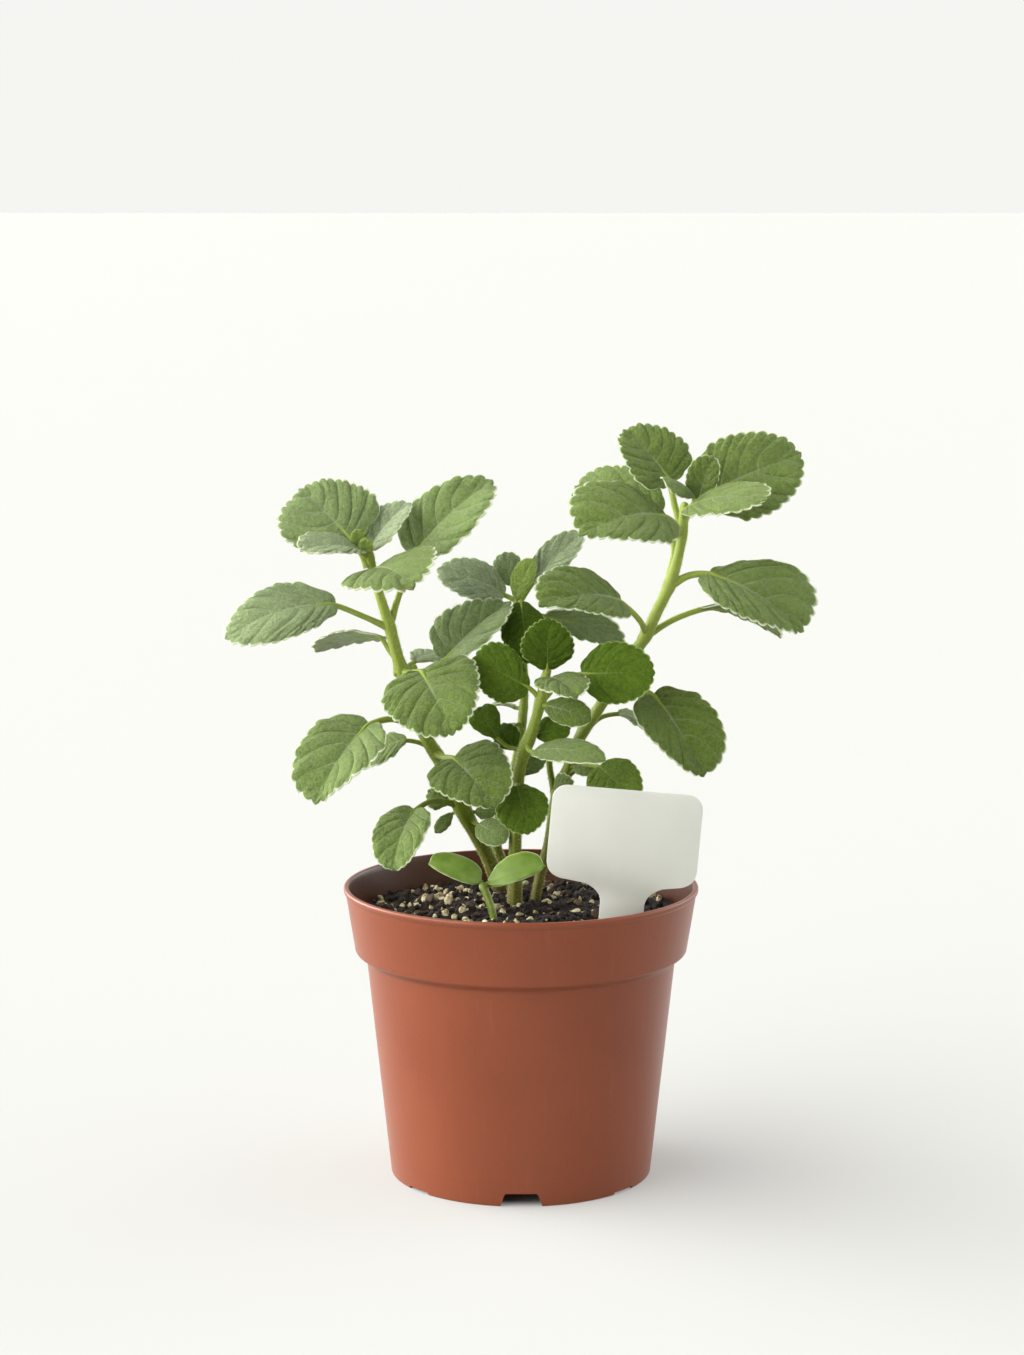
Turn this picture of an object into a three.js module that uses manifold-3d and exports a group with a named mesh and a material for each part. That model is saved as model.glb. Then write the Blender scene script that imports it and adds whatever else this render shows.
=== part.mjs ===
import * as THREE from "three";
import { mergeVertices } from "three/addons/utils/BufferGeometryUtils.js";
import Module from "manifold-3d";

// A young bushy plectranthus in an 11 cm nursery pot, with its soil, a seedling and a plant label.
// Millimetres, +Z up. The origin is where the pot's axis meets the ground, and -Y is the front.

const wasm = await Module();
wasm.setup();

const { Vector2, Vector3, BufferGeometry, BufferAttribute } = THREE;
const clearance = 0.35;
const slack = 0.3;
const toRadians = THREE.MathUtils.degToRad;

const potSize = {
  height: 91,
  rimRadius: 55,
  lip: 1.5,
  wall: 1.3,
  edge: 0.4,
  bandEdge: 0.6,
  bandTopRadius: 54.4,
  bandFootRadius: 51.5,
  bandFootHeight: 71,
  bodyTopRadius: 48,
  bodyTopHeight: 68.5,
  footRadius: 40.6,
  floorHeight: 7,
  floorThickness: 1.4,
  sides: 40,
};
const deepNotch = { turns: [0, 180], height: 4.2, footWidth: 14, topWidth: 10, depth: 12 };
const lowNotch = { turns: [51, 129, 231, 309], height: 0.9, footWidth: 10, topWidth: 9, depth: 12 };
const drainHole = { count: 6, radius: 3.5, ringRadius: 25, sides: 8, cutLength: 8 };
const soilSize = {
  topHeight: 82,
  mound: 1.6,
  lump: 0.9,
  rings: [46, 33, 17, 0],
  crumbs: 16,
  crumbRadius: 1.7,
  crumbReach: 44,
  crumbClear: 6,
  labelClear: 8,
};
const stemRootHeight = 56;
const stemSides = 6;
const stepsPerBend = 1.4;
const holeSides = 8;
const stalkShape = { base: 0.5, perHalfWidth: 0.045, widest: 1.1, sides: 4, reach: 0.1, longSpan: 5 };
const bladeThickness = 0.8;
const seedBladeThickness = 1.1;
const rowSpacing = 7;
const innerRow = { leastHalfWidth: 12.1, share: 0.55 };

// Solids

function solid(geometry) {
  const bare = geometry.clone();
  bare.deleteAttribute("normal");
  bare.deleteAttribute("uv");
  const merged = mergeVertices(bare, 1e-4);
  return new wasm.Manifold(new wasm.Mesh({
    numProp: 3,
    vertProperties: new Float32Array(merged.attributes.position.array),
    triVerts: new Uint32Array(merged.index.array),
  }));
}

function joined(geometries) {
  return geometries.map(solid).reduce((whole, piece) => whole.add(piece));
}

function geometryOf(manifold) {
  const { vertProperties, triVerts } = manifold.getMesh();
  const geometry = new BufferGeometry();
  geometry.setAttribute("position", new BufferAttribute(vertProperties, 3));
  geometry.setIndex(new BufferAttribute(triVerts, 1));
  const faceted = geometry.toNonIndexed();
  faceted.computeVertexNormals();
  return faceted;
}

function meshFrom(points, triangles) {
  const geometry = new BufferGeometry();
  const places = points.flatMap((place) => place.toArray());
  geometry.setAttribute("position", new THREE.Float32BufferAttribute(places, 3));
  geometry.setIndex(triangles.flat());
  return geometry;
}

function point([x, y, z]) {
  return new Vector3(x, y, z);
}

// A closed tube that tapers along a smooth curve through the points.
function taperedTube(points, radii, sides, steps) {
  const curve = new THREE.CatmullRomCurve3(points, false, "centripetal");
  const frames = curve.computeFrenetFrames(steps, false);
  const ringPoints = [];
  const triangles = [];
  for (let step = 0; step <= steps; step += 1) {
    const along = step / steps;
    const centre = curve.getPointAt(along);
    const place = along * (radii.length - 1);
    const before = Math.min(Math.floor(place), radii.length - 2);
    const radius = THREE.MathUtils.lerp(radii[before], radii[before + 1], place - before);
    for (let side = 0; side < sides; side += 1) {
      const angle = (side / sides) * Math.PI * 2;
      ringPoints.push(centre.clone()
        .addScaledVector(frames.normals[step], Math.cos(angle) * radius)
        .addScaledVector(frames.binormals[step], Math.sin(angle) * radius));
      if (step < steps) {
        const here = step * sides + side;
        const next = step * sides + ((side + 1) % sides);
        triangles.push([here, next, next + sides], [here, next + sides, here + sides]);
      }
    }
  }
  for (let side = 1; side < sides - 1; side += 1) {
    const last = steps * sides;
    triangles.push([0, side + 1, side], [last, last + side, last + side + 1]);
  }
  return meshFrom(ringPoints, triangles);
}

// Leaf blades. A blade is described by its base and tip, its full width, the direction that its upper
// side faces, how far the midrib arches (a share of the length), how steeply the two halves fold up
// from the midrib (degrees), how far the margins curl down (a share of the half width) and its number of
// scallops on each side, which may be cut deeper or shallower. The wedge is the power that widens the
// blade from its base (0.15 for a blunt base to 1 for a long wedge), and the taper is the one that
// narrows it to its tip. The right half may have its own, and its own share of the left half's width.
// A stalk may have a place that it goes via.

const bladeShape = { wedge: 0.55, taper: 0.58, toothStart: 0.2, toothDepth: 0.045, footShare: 0.05 };
const seedLeafShape = { wedge: 0.6, taper: 0.6, toothStart: 1, toothDepth: 0, footShare: 0.1 };
const crestShare = 0.55;

function bladeOf(leaf) {
  const base = point(leaf.base);
  const along = point(leaf.tip).sub(base);
  const length = along.length();
  along.normalize();
  const facing = point(leaf.faces);
  facing.addScaledVector(along, -facing.dot(along)).normalize();
  const side = facing.clone().cross(along);
  const shape = leaf.shape ?? bladeShape;
  const left = { wedge: leaf.wedge ?? shape.wedge, taper: leaf.taper ?? shape.taper, share: 1 };
  const right = {
    wedge: leaf.rightWedge ?? left.wedge,
    taper: leaf.rightTaper ?? left.taper,
    share: leaf.rightShare ?? 1,
  };
  return {
    base,
    along,
    facing,
    side,
    length,
    halfWidth: leaf.width / 2,
    arch: leaf.arch ?? 0.08,
    fold: toRadians(leaf.fold ?? 8),
    curl: leaf.curl ?? 0.12,
    teeth: leaf.teeth ?? 7,
    toothStart: shape.toothStart,
    toothDepth: shape.toothDepth * (leaf.cut ?? 1) * leaf.width,
    footShare: shape.footShare,
    left,
    right,
  };
}

// The place on a blade at a share of its length and a distance from its midrib, raised off its surface.
function bladePlace(blade, share, distance, raise) {
  const slope = 4 * blade.arch * (1 - 2 * share);
  const hump = 4 * share * (1 - share) * blade.length;
  const reach = Math.abs(distance) / blade.halfWidth;
  const normal = blade.facing.clone().addScaledVector(blade.along, -slope).normalize();
  const lift = Math.abs(distance) * Math.sin(blade.fold) - blade.curl * blade.halfWidth * reach ** 2;
  return blade.base.clone()
    .addScaledVector(blade.along, share * blade.length)
    .addScaledVector(blade.facing, blade.arch * hump)
    .addScaledVector(blade.side, distance * Math.cos(blade.fold))
    .addScaledVector(normal, lift + raise);
}

function smoothMargin(blade, half, share) {
  const { wedge, taper } = half;
  const widest = wedge / (wedge + taper);
  const peak = widest ** wedge * (1 - widest) ** taper;
  const oval = (share ** wedge * (1 - share) ** taper) / peak;
  return blade.halfWidth * half.share * Math.max(oval, blade.footShare * (1 - share));
}

// One side of the toothed margin, from the base to the tip, as points in the flat blade.
function toothedMargin(blade, half) {
  const samples = 160;
  const outline = [];
  let length = 0;
  for (let i = 0; i <= samples; i += 1) {
    const share = (1 - Math.cos((i / samples) * Math.PI)) / 2;
    const place = new Vector2(share * blade.length, smoothMargin(blade, half, share));
    length += i ? place.distanceTo(outline[i - 1].place) : 0;
    outline.push({ place, share, length });
  }
  const marginAt = (wanted) => {
    const index = Math.max(1, outline.findIndex((sample) => sample.length >= wanted - 1e-9));
    const from = outline[index - 1];
    const to = outline[index];
    const part = (wanted - from.length) / (to.length - from.length || 1);
    const outward = to.place.clone().sub(from.place).normalize();
    return { place: from.place.clone().lerp(to.place, part), outward: new Vector2(-outward.y, outward.x) };
  };
  const start = outline.find((sample) => sample.share >= blade.toothStart - 1e-9).length;
  const depth = blade.toothDepth;
  const pitch = (length - start) / (blade.teeth + 0.5);
  const plainSteps = depth ? 2 : 8;
  const margin = [];
  for (let i = 0; i < plainSteps; i += 1) {
    margin.push(marginAt((start * i) / plainSteps).place);
  }
  if (!depth) {
    return [...margin, outline[samples].place];
  }
  for (let tooth = 0; tooth < blade.teeth; tooth += 1) {
    const valley = marginAt(start + tooth * pitch);
    const crest = marginAt(start + (tooth + crestShare) * pitch);
    margin.push(valley.place);
    margin.push(crest.place.clone().addScaledVector(crest.outward, depth));
  }
  margin.push(marginAt(length - pitch / 2).place);
  margin.push(new Vector2(blade.length + depth, 0));
  return margin;
}

// Triangles between two rows of flat points that both run from the base to the tip.
function zipped(left, right, places) {
  const triangles = [];
  let i = 0;
  let j = 0;
  while (i < left.length - 1 || j < right.length - 1) {
    const stepLeft = j === right.length - 1
      || (i < left.length - 1 && places[left[i + 1]].x <= places[right[j + 1]].x);
    if (stepLeft) {
      triangles.push([left[i], right[j], left[i + 1]]);
      i += 1;
    } else {
      triangles.push([left[i], right[j], right[j + 1]]);
      j += 1;
    }
  }
  return triangles;
}

function bladeGeometry(leaf, thickness = bladeThickness) {
  const blade = bladeOf(leaf);
  const places = [];
  const add = (x, y) => places.push(new Vector2(x, y)) - 1;
  const rowSteps = Math.max(2, Math.round(blade.length / rowSpacing));
  const hasInnerRow = blade.halfWidth > innerRow.leastHalfWidth;
  const tip = add(toothedMargin(blade, blade.left).at(-1).x, 0);
  const midrib = [];
  for (let i = 0; i < rowSteps; i += 1) {
    midrib.push(add((blade.length * i) / rowSteps, 0));
  }
  midrib.push(tip);
  const triangles = [];
  const rims = [];
  for (const [sign, half] of [[1, blade.left], [-1, blade.right]]) {
    const edge = toothedMargin(blade, half).slice(0, -1).map((place) => add(place.x, sign * place.y));
    edge.push(tip);
    const inner = [edge[0]];
    for (let i = 1; hasInnerRow && i < rowSteps; i += 1) {
      const share = i / rowSteps;
      inner.push(add(blade.length * share, sign * innerRow.share * smoothMargin(blade, half, share)));
    }
    inner.push(tip);
    const strips = hasInnerRow
      ? [...zipped(edge, inner, places), ...zipped(inner, midrib, places)]
      : zipped(edge, midrib, places);
    const proper = strips.filter((t) => new Set(t).size === 3);
    triangles.push(...(sign > 0 ? proper : proper.map(([a, b, c]) => [a, c, b])));
    rims.push(edge);
  }
  const rim = [midrib[0], ...rims[1].slice(0, -1), ...rims[0].reverse()];
  const surface = (raise) => places.map((p) => bladePlace(blade, p.x / blade.length, p.y, raise));
  const under = places.length;
  const closed = triangles.flatMap(([a, b, c]) => [[a, b, c], [a + under, c + under, b + under]]);
  rim.forEach((from, i) => {
    const to = rim[(i + 1) % rim.length];
    closed.push([from, from + under, to + under], [from, to + under, to]);
  });
  return meshFrom([...surface(thickness / 2), ...surface(-thickness / 2)], closed);
}

// The leaf stalk leaves the stem at the joint, comes in along the blade and runs out under its midrib.
function stalkGeometry(leaf) {
  const blade = bladeOf(leaf);
  const joint = point(leaf.from);
  const keelLift = -bladeThickness * 0.35;
  const onBlade = (share) => bladePlace(blade, share, 0, keelLift);
  const direction = onBlade(0.05).sub(onBlade(0)).normalize();
  const span = joint.distanceTo(blade.base);
  const isLong = span > stalkShape.longSpan;
  const plainRadius = stalkShape.base + blade.halfWidth * stalkShape.perHalfWidth;
  const radius = Math.min(plainRadius, stalkShape.widest) * (leaf.stalk ?? 1);
  const points = [joint];
  if (leaf.via) {
    points.push(point(leaf.via));
  } else if (isLong) {
    const straight = joint.clone().lerp(blade.base, 0.5);
    points.push(onBlade(0).addScaledVector(direction, -span * 0.5).lerp(straight, 0.6));
  }
  points.push(onBlade(0), onBlade(stalkShape.reach));
  const radii = [radius * 1.35, radius, radius * 0.9, radius * 0.5];
  return taperedTube(points, radii, stalkShape.sides, isLong ? 4 : 2);
}

function leafyStem(stems, leaves, buds) {
  const pieces = stems.map(({ path, radii }) => (
    taperedTube(path.map(point), radii, stemSides, Math.round(path.length * stepsPerBend))
  ));
  for (const leaf of leaves) {
    pieces.push(stalkGeometry(leaf), bladeGeometry(leaf));
  }
  for (const bud of buds) {
    pieces.push(new THREE.OctahedronGeometry(bud.radius, 0).translate(...bud.at));
  }
  return joined(pieces);
}

// Where a stem comes out of the soil.
function stemFoot({ path }) {
  const above = path.find(([, , z]) => z > soilSize.topHeight - 5);
  return new Vector2(above[0], above[1]);
}

// The hole that a buried stem stands in.
function stemHole({ path, radii }) {
  const wide = radii.map((radius) => radius + clearance + slack);
  const points = path.map(point);
  points[0].z -= clearance;
  return solid(taperedTube(points, wide, holeSides, path.length * 2));
}

// Left stem: it leans out to the left and carries the most leaves.

const leftStem = {
  path: [[-6, 34, stemRootHeight], [-6, 32, 78], [-10, 27, 93], [-18, 20, 110], [-25, 14, 127],
    [-29, 12, 134], [-34, 8, 148], [-37.7, 5, 160], [-40.4, 3, 171], [-43.6, 1, 182], [-47, 0, 195]],
  radii: [2.5, 2.5, 2.3, 2, 1.8, 1.1],
};
const leftLeaves = [
  { from: [-47, 0, 190], base: [-51.5, 1, 198.1], tip: [-67.5, 9, 212.4], width: 28.4, faces: [0.2, -1, 0.3],
    wedge: 0.5, taper: 0.32, rightWedge: 0.15, rightTaper: 0.5, teeth: 10, cut: 0.75 },
  { from: [-40.4, 3, 172], via: [-37.2, 5, 182], base: [-32.6, 7, 193.4], tip: [-9.6, 11, 215], width: 23.6,
    faces: [-0.8, -1, 0.3], fold: 20, wedge: 0.2, taper: 0.55, rightWedge: 0.4, rightTaper: 0.5, teeth: 8,
    cut: 0.8 },
  { from: [-47, 0, 193], base: [-48.8, -3, 195.2], tip: [-65.7, -15, 197], width: 15, faces: [-0.1, -0.5, 1],
    fold: 18, wedge: 0.5, taper: 0.35, teeth: 6 },
  { from: [-47, 0, 194], base: [-46, 3, 196], tip: [-34.5, 8, 208.5], width: 14, faces: [-0.9, -1, 0.4],
    fold: 24, wedge: 0.3, teeth: 7, cut: 0.9 },
  { from: [-45, 1, 186], base: [-44, -3, 190], tip: [-33, -28, 188], width: 28, faces: [-0.3, -0.28, 1],
    fold: 12, wedge: 0.45, teeth: 8, cut: 1.2 },
  { from: [-41, 3, 171], via: [-49, -0.6, 175.2], base: [-57, -4, 179], tip: [-89.4, -12, 170], width: 20.6,
    faces: [0, -0.7, 0.75], arch: 0.13, wedge: 0.6, rightWedge: 0.45, teeth: 9, cut: 0.7 },
  { from: [-36.8, 5.6, 158.4], via: [-40.6, 7, 163], base: [-43.4, 9, 167.3], tip: [-64, 22, 161.3],
    width: 15, faces: [0, 0.6, 0.8], wedge: 0.35, taper: 0.5, teeth: 6 },
  { from: [-37, 6, 157], via: [-34.4, 1, 157], base: [-30.3, -5, 158.4], tip: [-20.9, -22.5, 142.8],
    width: 30.4, faces: [-0.1, -1, 0.6], fold: 11, wedge: 0.16, taper: 0.45, rightWedge: 0.2,
    rightTaper: 0.45, teeth: 10, cut: 0.6 },
  { from: [-36, 6, 156], base: [-23.2, 8, 160.6], tip: [-4, 11, 177.4], width: 22.4, faces: [-0.9, -1, 0.3],
    fold: 34, wedge: 0.3, taper: 0.85, rightWedge: 0.6, rightTaper: 0.6, teeth: 7, cut: 0.8 },
  { from: [-37, 6, 157], base: [-33, 14, 159], tip: [-24, 26, 159], width: 11, faces: [0, -0.3, 1],
    teeth: 5 },
  { from: [-30, 11, 137], base: [-47.2, 1, 141], tip: [-62.6, -11, 119.4], width: 28.4,
    faces: [-0.7, -1, 0.3], fold: 22, wedge: 0.35, taper: 0.8, rightWedge: 0.3, rightTaper: 0.36, teeth: 8,
    cut: 0.7 },
  { from: [-25.2, 14.2, 126.6], base: [-36.3, 12, 134.4], tip: [-48.5, 14, 127], width: 13,
    faces: [-0.2, -0.5, 1], teeth: 5 },
  { from: [-27, 13, 130], via: [-24, 6.5, 129.8], base: [-20.6, -2, 131], tip: [-8.4, -18, 119.3],
    width: 25.4, faces: [0, -1, 0.6], fold: 12, wedge: 0.16, taper: 0.32, rightWedge: 0.16, rightTaper: 0.6,
    rightShare: 0.92, teeth: 8, cut: 0.5 },
  { from: [-19, 19, 112], base: [-33.3, 6, 113], tip: [-39.7, -4, 96.6], width: 19.4, faces: [-0.6, -1, 0.3],
    fold: 20, wedge: 0.22, taper: 0.42, rightWedge: 0.3, teeth: 8, cut: 0.4 },
  { from: [-20, 18, 114], base: [-23, 21, 113], tip: [-29, 23, 116], width: 9, faces: [0, -1, 0.5],
    teeth: 4 },
  { from: [-19, 19, 111], base: [-22, 21, 109], tip: [-27, 22, 103], width: 4, faces: [0, -1, 0.3],
    teeth: 3 },
  { from: [-17, 20, 110], base: [-14, 20, 110], tip: [-8, 18, 110], width: 5, faces: [0, -1, 0.6], teeth: 3 },
  { from: [-16, 21, 107], base: [-13, 14, 107], tip: [-5, 2, 104], width: 9, faces: [0, -1, 0.5], wedge: 0.5,
    taper: 0.4, teeth: 4, cut: 0.5 },
  { from: [-47, 0, 194], base: [-49.4, -1.2, 197.2], tip: [-50.4, -3, 201.8], width: 4.4,
    faces: [0.2, -1, 0.2], fold: 14, wedge: 0.4, taper: 0.4, teeth: 3, cut: 0.4 },
  { from: [-46.8, 0, 193], base: [-47.4, -2.2, 194.8], tip: [-47, -4.4, 199.4], width: 4.6,
    faces: [-0.1, -1, 0.3], fold: 14, wedge: 0.4, taper: 0.4, teeth: 3, cut: 0.4 },
];
const leftBuds = [
  { at: [-38.4, 5, 156.5], radius: 1.3 },
  { at: [-33.2, 6.4, 157.6], radius: 1.3 },
  { at: [-38.8, 3.3, 177.5], radius: 1 },
];

// Right stem, with a thin side shoot low down.

const rightStem = {
  path: [[3, 17, stemRootHeight], [4.2, 15, 80], [6, 16, 90], [9, 18, 101], [11, 18, 114], [15, 16, 125],
    [19, 14, 136], [24, 12, 144], [32, 9, 158], [38, 7, 167], [42, 5, 176], [46, 4, 185], [49, 3, 197],
    [50, 2, 209]],
  radii: [1.6, 1.55, 1.7, 1.8, 1.7, 1.7, 1.8],
};
const sideShoot = { path: [[11, 18, 113], [10, 19, 119], [9, 19, 125], [9, 18, 131]], radii: [1.1, 0.9] };
const rightLeaves = [
  { from: [49, 3, 202], base: [56.6, 5, 211.8], tip: [85.2, 12, 223.6], width: 26.4, faces: [-0.1, -1, 0.3],
    wedge: 0.25, taper: 0.5, rightWedge: 0.4, teeth: 9, cut: 0.8 },
  { from: [49.4, 3, 201], via: [47.2, 4.4, 208], base: [45.4, 6, 216.2], tip: [32.2, 12, 230.6], width: 24,
    faces: [0.7, -1, 0.2], fold: 22, wedge: 0.16, taper: 0.5, rightWedge: 0.14, rightTaper: 0.45,
    rightShare: 0.95, teeth: 8, cut: 0.8 },
  { from: [45, 4, 184], base: [42, 14, 204.6], tip: [17.6, 25, 212.2], width: 22, faces: [0, -1, 0.5],
    wedge: 0.3, taper: 0.4, teeth: 9, cut: 0.7 },
  { from: [49, 3, 199], base: [44.2, -5, 206], tip: [18.4, -21, 202.6], width: 24.4, faces: [0, -0.8, 0.65],
    arch: 0.14, fold: 18, curl: 0.2, wedge: 0.3, taper: 0.8, rightWedge: 0.9, rightTaper: 0.32,
    rightShare: 1.24, teeth: 9, cut: 0.9 },
  { from: [50, 2, 207], base: [54.4, 0, 211.4], tip: [58, -2, 223.8], width: 11.6, faces: [-0.1, -1, 0.4],
    fold: 20, wedge: 0.38, taper: 0.36, rightShare: 0.7, teeth: 6, cut: 0.6 },
  { from: [50, 2, 207], base: [52.6, -2, 212], tip: [43, -10, 218], width: 7, faces: [-0.1, -0.6, 0.9],
    fold: -8, curl: 0.5, wedge: 0.5, taper: 0.3, teeth: 5, cut: 0.7 },
  { from: [50, 3, 205], base: [51, -6, 209.2], tip: [72, -23, 213], width: 18, faces: [0, -0.6, 1], fold: 12,
    curl: 0.22, wedge: 0.7, taper: 0.36, rightWedge: 0.3, teeth: 8, cut: 1.2 },
  { from: [46, 4, 184], base: [57.6, 2, 187.8], tip: [85.4, -5, 171.6], width: 30.6, faces: [0.5, -1, 0.8],
    arch: 0.1, fold: 20, wedge: 0.95, taper: 0.36, rightWedge: 0.35, rightTaper: 0.7, rightShare: 0.86,
    teeth: 10, cut: 0.7 },
  { from: [39, 7, 168], via: [47.6, 10.4, 172.6], base: [56.2, 13, 175.6], tip: [80.6, 19, 166.4], width: 19,
    faces: [0.2, 0.25, 1], arch: 0.12, wedge: 0.5, teeth: 7 },
  { from: [39, 7, 168], via: [36, 1, 174], base: [30.4, -4, 180], tip: [6, -21, 181], width: 19.6,
    faces: [-0.1, -1, 0.9], arch: 0.12, fold: 18, curl: 0.2, wedge: 0.25, taper: 0.8, rightWedge: 0.6,
    rightTaper: 0.4, rightShare: 1.24, teeth: 9, cut: 0.7 },
  { from: [27, 11, 150], base: [41, 4, 149.6], tip: [55.6, -6, 126.8], width: 26.4, faces: [0.4, -1, 0.4],
    fold: 20, wedge: 0.45, taper: 0.4, rightWedge: 0.2, rightTaper: 0.6, rightShare: 0.9, teeth: 8,
    cut: 0.55 },
  { from: [20, 13, 137], base: [31, 17, 142], tip: [42, 21, 135], width: 11, faces: [0, -0.3, 1], teeth: 5 },
  { from: [13, 17, 121], base: [24.5, 5, 127], tip: [34.5, -7, 118], width: 16, faces: [0.1, -1, 0.4],
    wedge: 0.3, taper: 0.45, teeth: 6, cut: 0.5 },
  { from: [12, 17, 122], base: [17, 13, 126], tip: [24, 8, 125], width: 6, faces: [0, -0.8, 0.6], teeth: 4 },
  { from: [11, 18, 116], base: [11, 13, 118], tip: [16, 7, 122], width: 8, faces: [0, -1, 0.4], teeth: 4 },
  { from: [9, 18, 130], base: [9, 17, 132], tip: [14, 15, 137], width: 6, faces: [-0.3, -1, 0.4], teeth: 3 },
];
const rightBuds = [
  { at: [48, 4, 186], radius: 1 },
  { at: [41, 6, 171], radius: 1 },
];

// Front stem, close to the middle of the pot.

const frontStem = {
  path: [[-2.2, 8, stemRootHeight], [-2, 5.8, 80], [-1.8, 6, 93], [-1.8, 5.4, 104], [-1, 3, 123], [1, 1, 133],
    [3, 0, 138], [6, -3, 149], [7, -5, 155], [8, -6, 159]],
  radii: [2.6, 2.6, 2, 1.85, 1.7, 1.25],
};
const frontLeaves = [
  { from: [7, -5, 156], base: [8, -7, 160], tip: [8, -10, 175], width: 15.6, faces: [0, -1, 0.15], wedge: 0.5,
    teeth: 8, cut: 0.7 },
  { from: [6, -3, 149], base: [2, -4, 153.6], tip: [-14.2, -5, 162.2], width: 16, faces: [0, -1, 0.2],
    wedge: 0.35, taper: 0.5, rightWedge: 0.75, rightTaper: 0.38, teeth: 8, cut: 0.7 },
  { from: [6, -3, 149], base: [19, -6, 158], tip: [40, -11, 159], width: 18.4, faces: [0.1, -1, 0.2],
    wedge: 0.4, taper: 0.45, teeth: 8, cut: 0.6 },
  { from: [7, -5, 154], base: [9, -9, 157], tip: [16, -26, 154], width: 16, faces: [0, -0.4, 1], fold: 20,
    curl: 0.25, teeth: 6 },
  { from: [6, -3, 148], base: [8, -6, 148], tip: [21, -14, 145], width: 9, faces: [0, -1, 0.5], wedge: 0.5,
    taper: 0.45, teeth: 4, cut: 0.6 },
  { from: [3, 0, 137], base: [5, 2, 138], tip: [15, 3, 140], width: 9, faces: [0, -1, 0.3], teeth: 4,
    cut: 0.6 },
  { from: [2, 0, 135], base: [4, -7, 134], tip: [25, -23, 134], width: 12, faces: [0, -0.6, 1], teeth: 6,
    cut: 0.6 },
  { from: [1, 1, 133], base: [-7.6, 5, 136.4], tip: [-13.2, 8.4, 144.9], width: 9.4, faces: [0, -1, 0.3],
    wedge: 0.8, taper: 0.32, teeth: 4, cut: 0.6 },
  { from: [1, 1, 132], base: [-2, 6, 133], tip: [-7, 10, 139], width: 8, faces: [0, -1, 0.3], teeth: 4 },
  { from: [-1, 3, 122], base: [1, 5, 125], tip: [7, 9, 130], width: 6, faces: [-0.4, -1, 0.3], teeth: 3 },
  { from: [-1, 4, 119], base: [-1, -3, 122], tip: [2, -9, 109], width: 16, faces: [0, -1, 0.2], wedge: 0.5,
    teeth: 7, cut: 0.5 },
];

// Back stem, the thinnest, behind the front one.

const backStem = {
  path: [[3, 39, stemRootHeight], [0, 38, 80], [-7.6, 33, 96], [-6.4, 28, 109], [-2, 25, 123], [0, 22, 135],
    [1, 21, 146], [1, 21, 154], [0, 20, 165], [-1, 20, 177]],
  radii: [1.7, 1.6, 1.5, 1.4, 1.2, 1],
};
const backLeaves = [
  { from: [-1, 20, 177], base: [-5.6, 21, 179.2], tip: [-25.6, 22, 186.4], width: 15, faces: [0, -0.7, 0.7],
    fold: 12, teeth: 6, cut: 0.8 },
  { from: [-1, 20, 177], base: [-3, 24, 182], tip: [-5, 28, 191], width: 8.6, faces: [0, -1, 0.3], wedge: 0.5,
    taper: 0.4, teeth: 4 },
  { from: [-1, 20, 176], base: [-1.4, 16, 178.8], tip: [3.8, 14, 190.8], width: 8.4, faces: [-0.5, -1, 0.2],
    wedge: 0.6, taper: 0.5, rightShare: 0.8, teeth: 4, cut: 0.3 },
  { from: [-1, 20, 175], base: [4, 21, 183], tip: [19, 22, 198], width: 11, faces: [-0.4, -1, 0.3], fold: 24,
    teeth: 6 },
  { from: [-1, 20, 175], base: [0, 14, 177], tip: [2, 5, 160], width: 14, faces: [0, -1, 0.3], wedge: 0.6,
    teeth: 6, cut: 0.6 },
  { from: [-1, 20, 174], base: [8, 23, 172], tip: [32, 27, 163], width: 15, faces: [0.1, 0.7, 0.75], teeth: 6,
    cut: 1.2 },
  { from: [1, 21, 143], base: [-2, 23, 143], tip: [-9, 27, 143], width: 8, faces: [0, 0.2, 1], teeth: 3 },
  { from: [1, 21, 138], base: [-2, 20, 138], tip: [-6, 18, 137], width: 5, faces: [0, 0.2, 1], teeth: 3 },
];

// Seedling: a thin stem with two smooth oval seed leaves.

const seedlingStem = {
  path: [[-8, -14, 62], [-8, -14, 80], [-8.6, -13.4, 84.4], [-10.4, -11.4, 89.6], [-11.8, -10, 92.6]],
  radii: [1.1, 1.1, 1.1, 1.3],
};
const seedLeaves = [
  { from: [-11.6, -10, 92], base: [-12.6, -9.4, 94.2], tip: [-28.2, -9.4, 99.4], width: 6,
    faces: [0, -0.7, 0.7], wedge: 0.35, taper: 0.6, rightWedge: 0.25, rightTaper: 0.24, rightShare: 2.05 },
  { from: [-11.6, -10, 92], base: [-9.8, -9.6, 93.4], tip: [7, -10, 98.8], width: 14, faces: [0, -0.7, 0.7],
    wedge: 0.6, taper: 0.38, rightWedge: 0.45, rightTaper: 0.6, rightShare: 0.45 },
];

// Plant label: a flat plastic tag that leans a little to its right, with a tapering stake.

const label = {
  at: [29.7, -28, 82],
  lean: -5,
  headWidth: 45.5,
  headShift: -1.2,
  headHeight: 31,
  headFoot: 13,
  cornerRadius: 4.5,
  shoulderRise: 2.4,
  cornerRise: 3.5,
  neckWidth: 13.4,
  neckCurve: { reach: 5, startDrop: 4, bendDrop: 0.5, endRise: 1.5 },
  stakeDepth: 34,
  pointHeight: 14,
  pointWidth: 3,
  thickness: 0.8,
};

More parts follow.
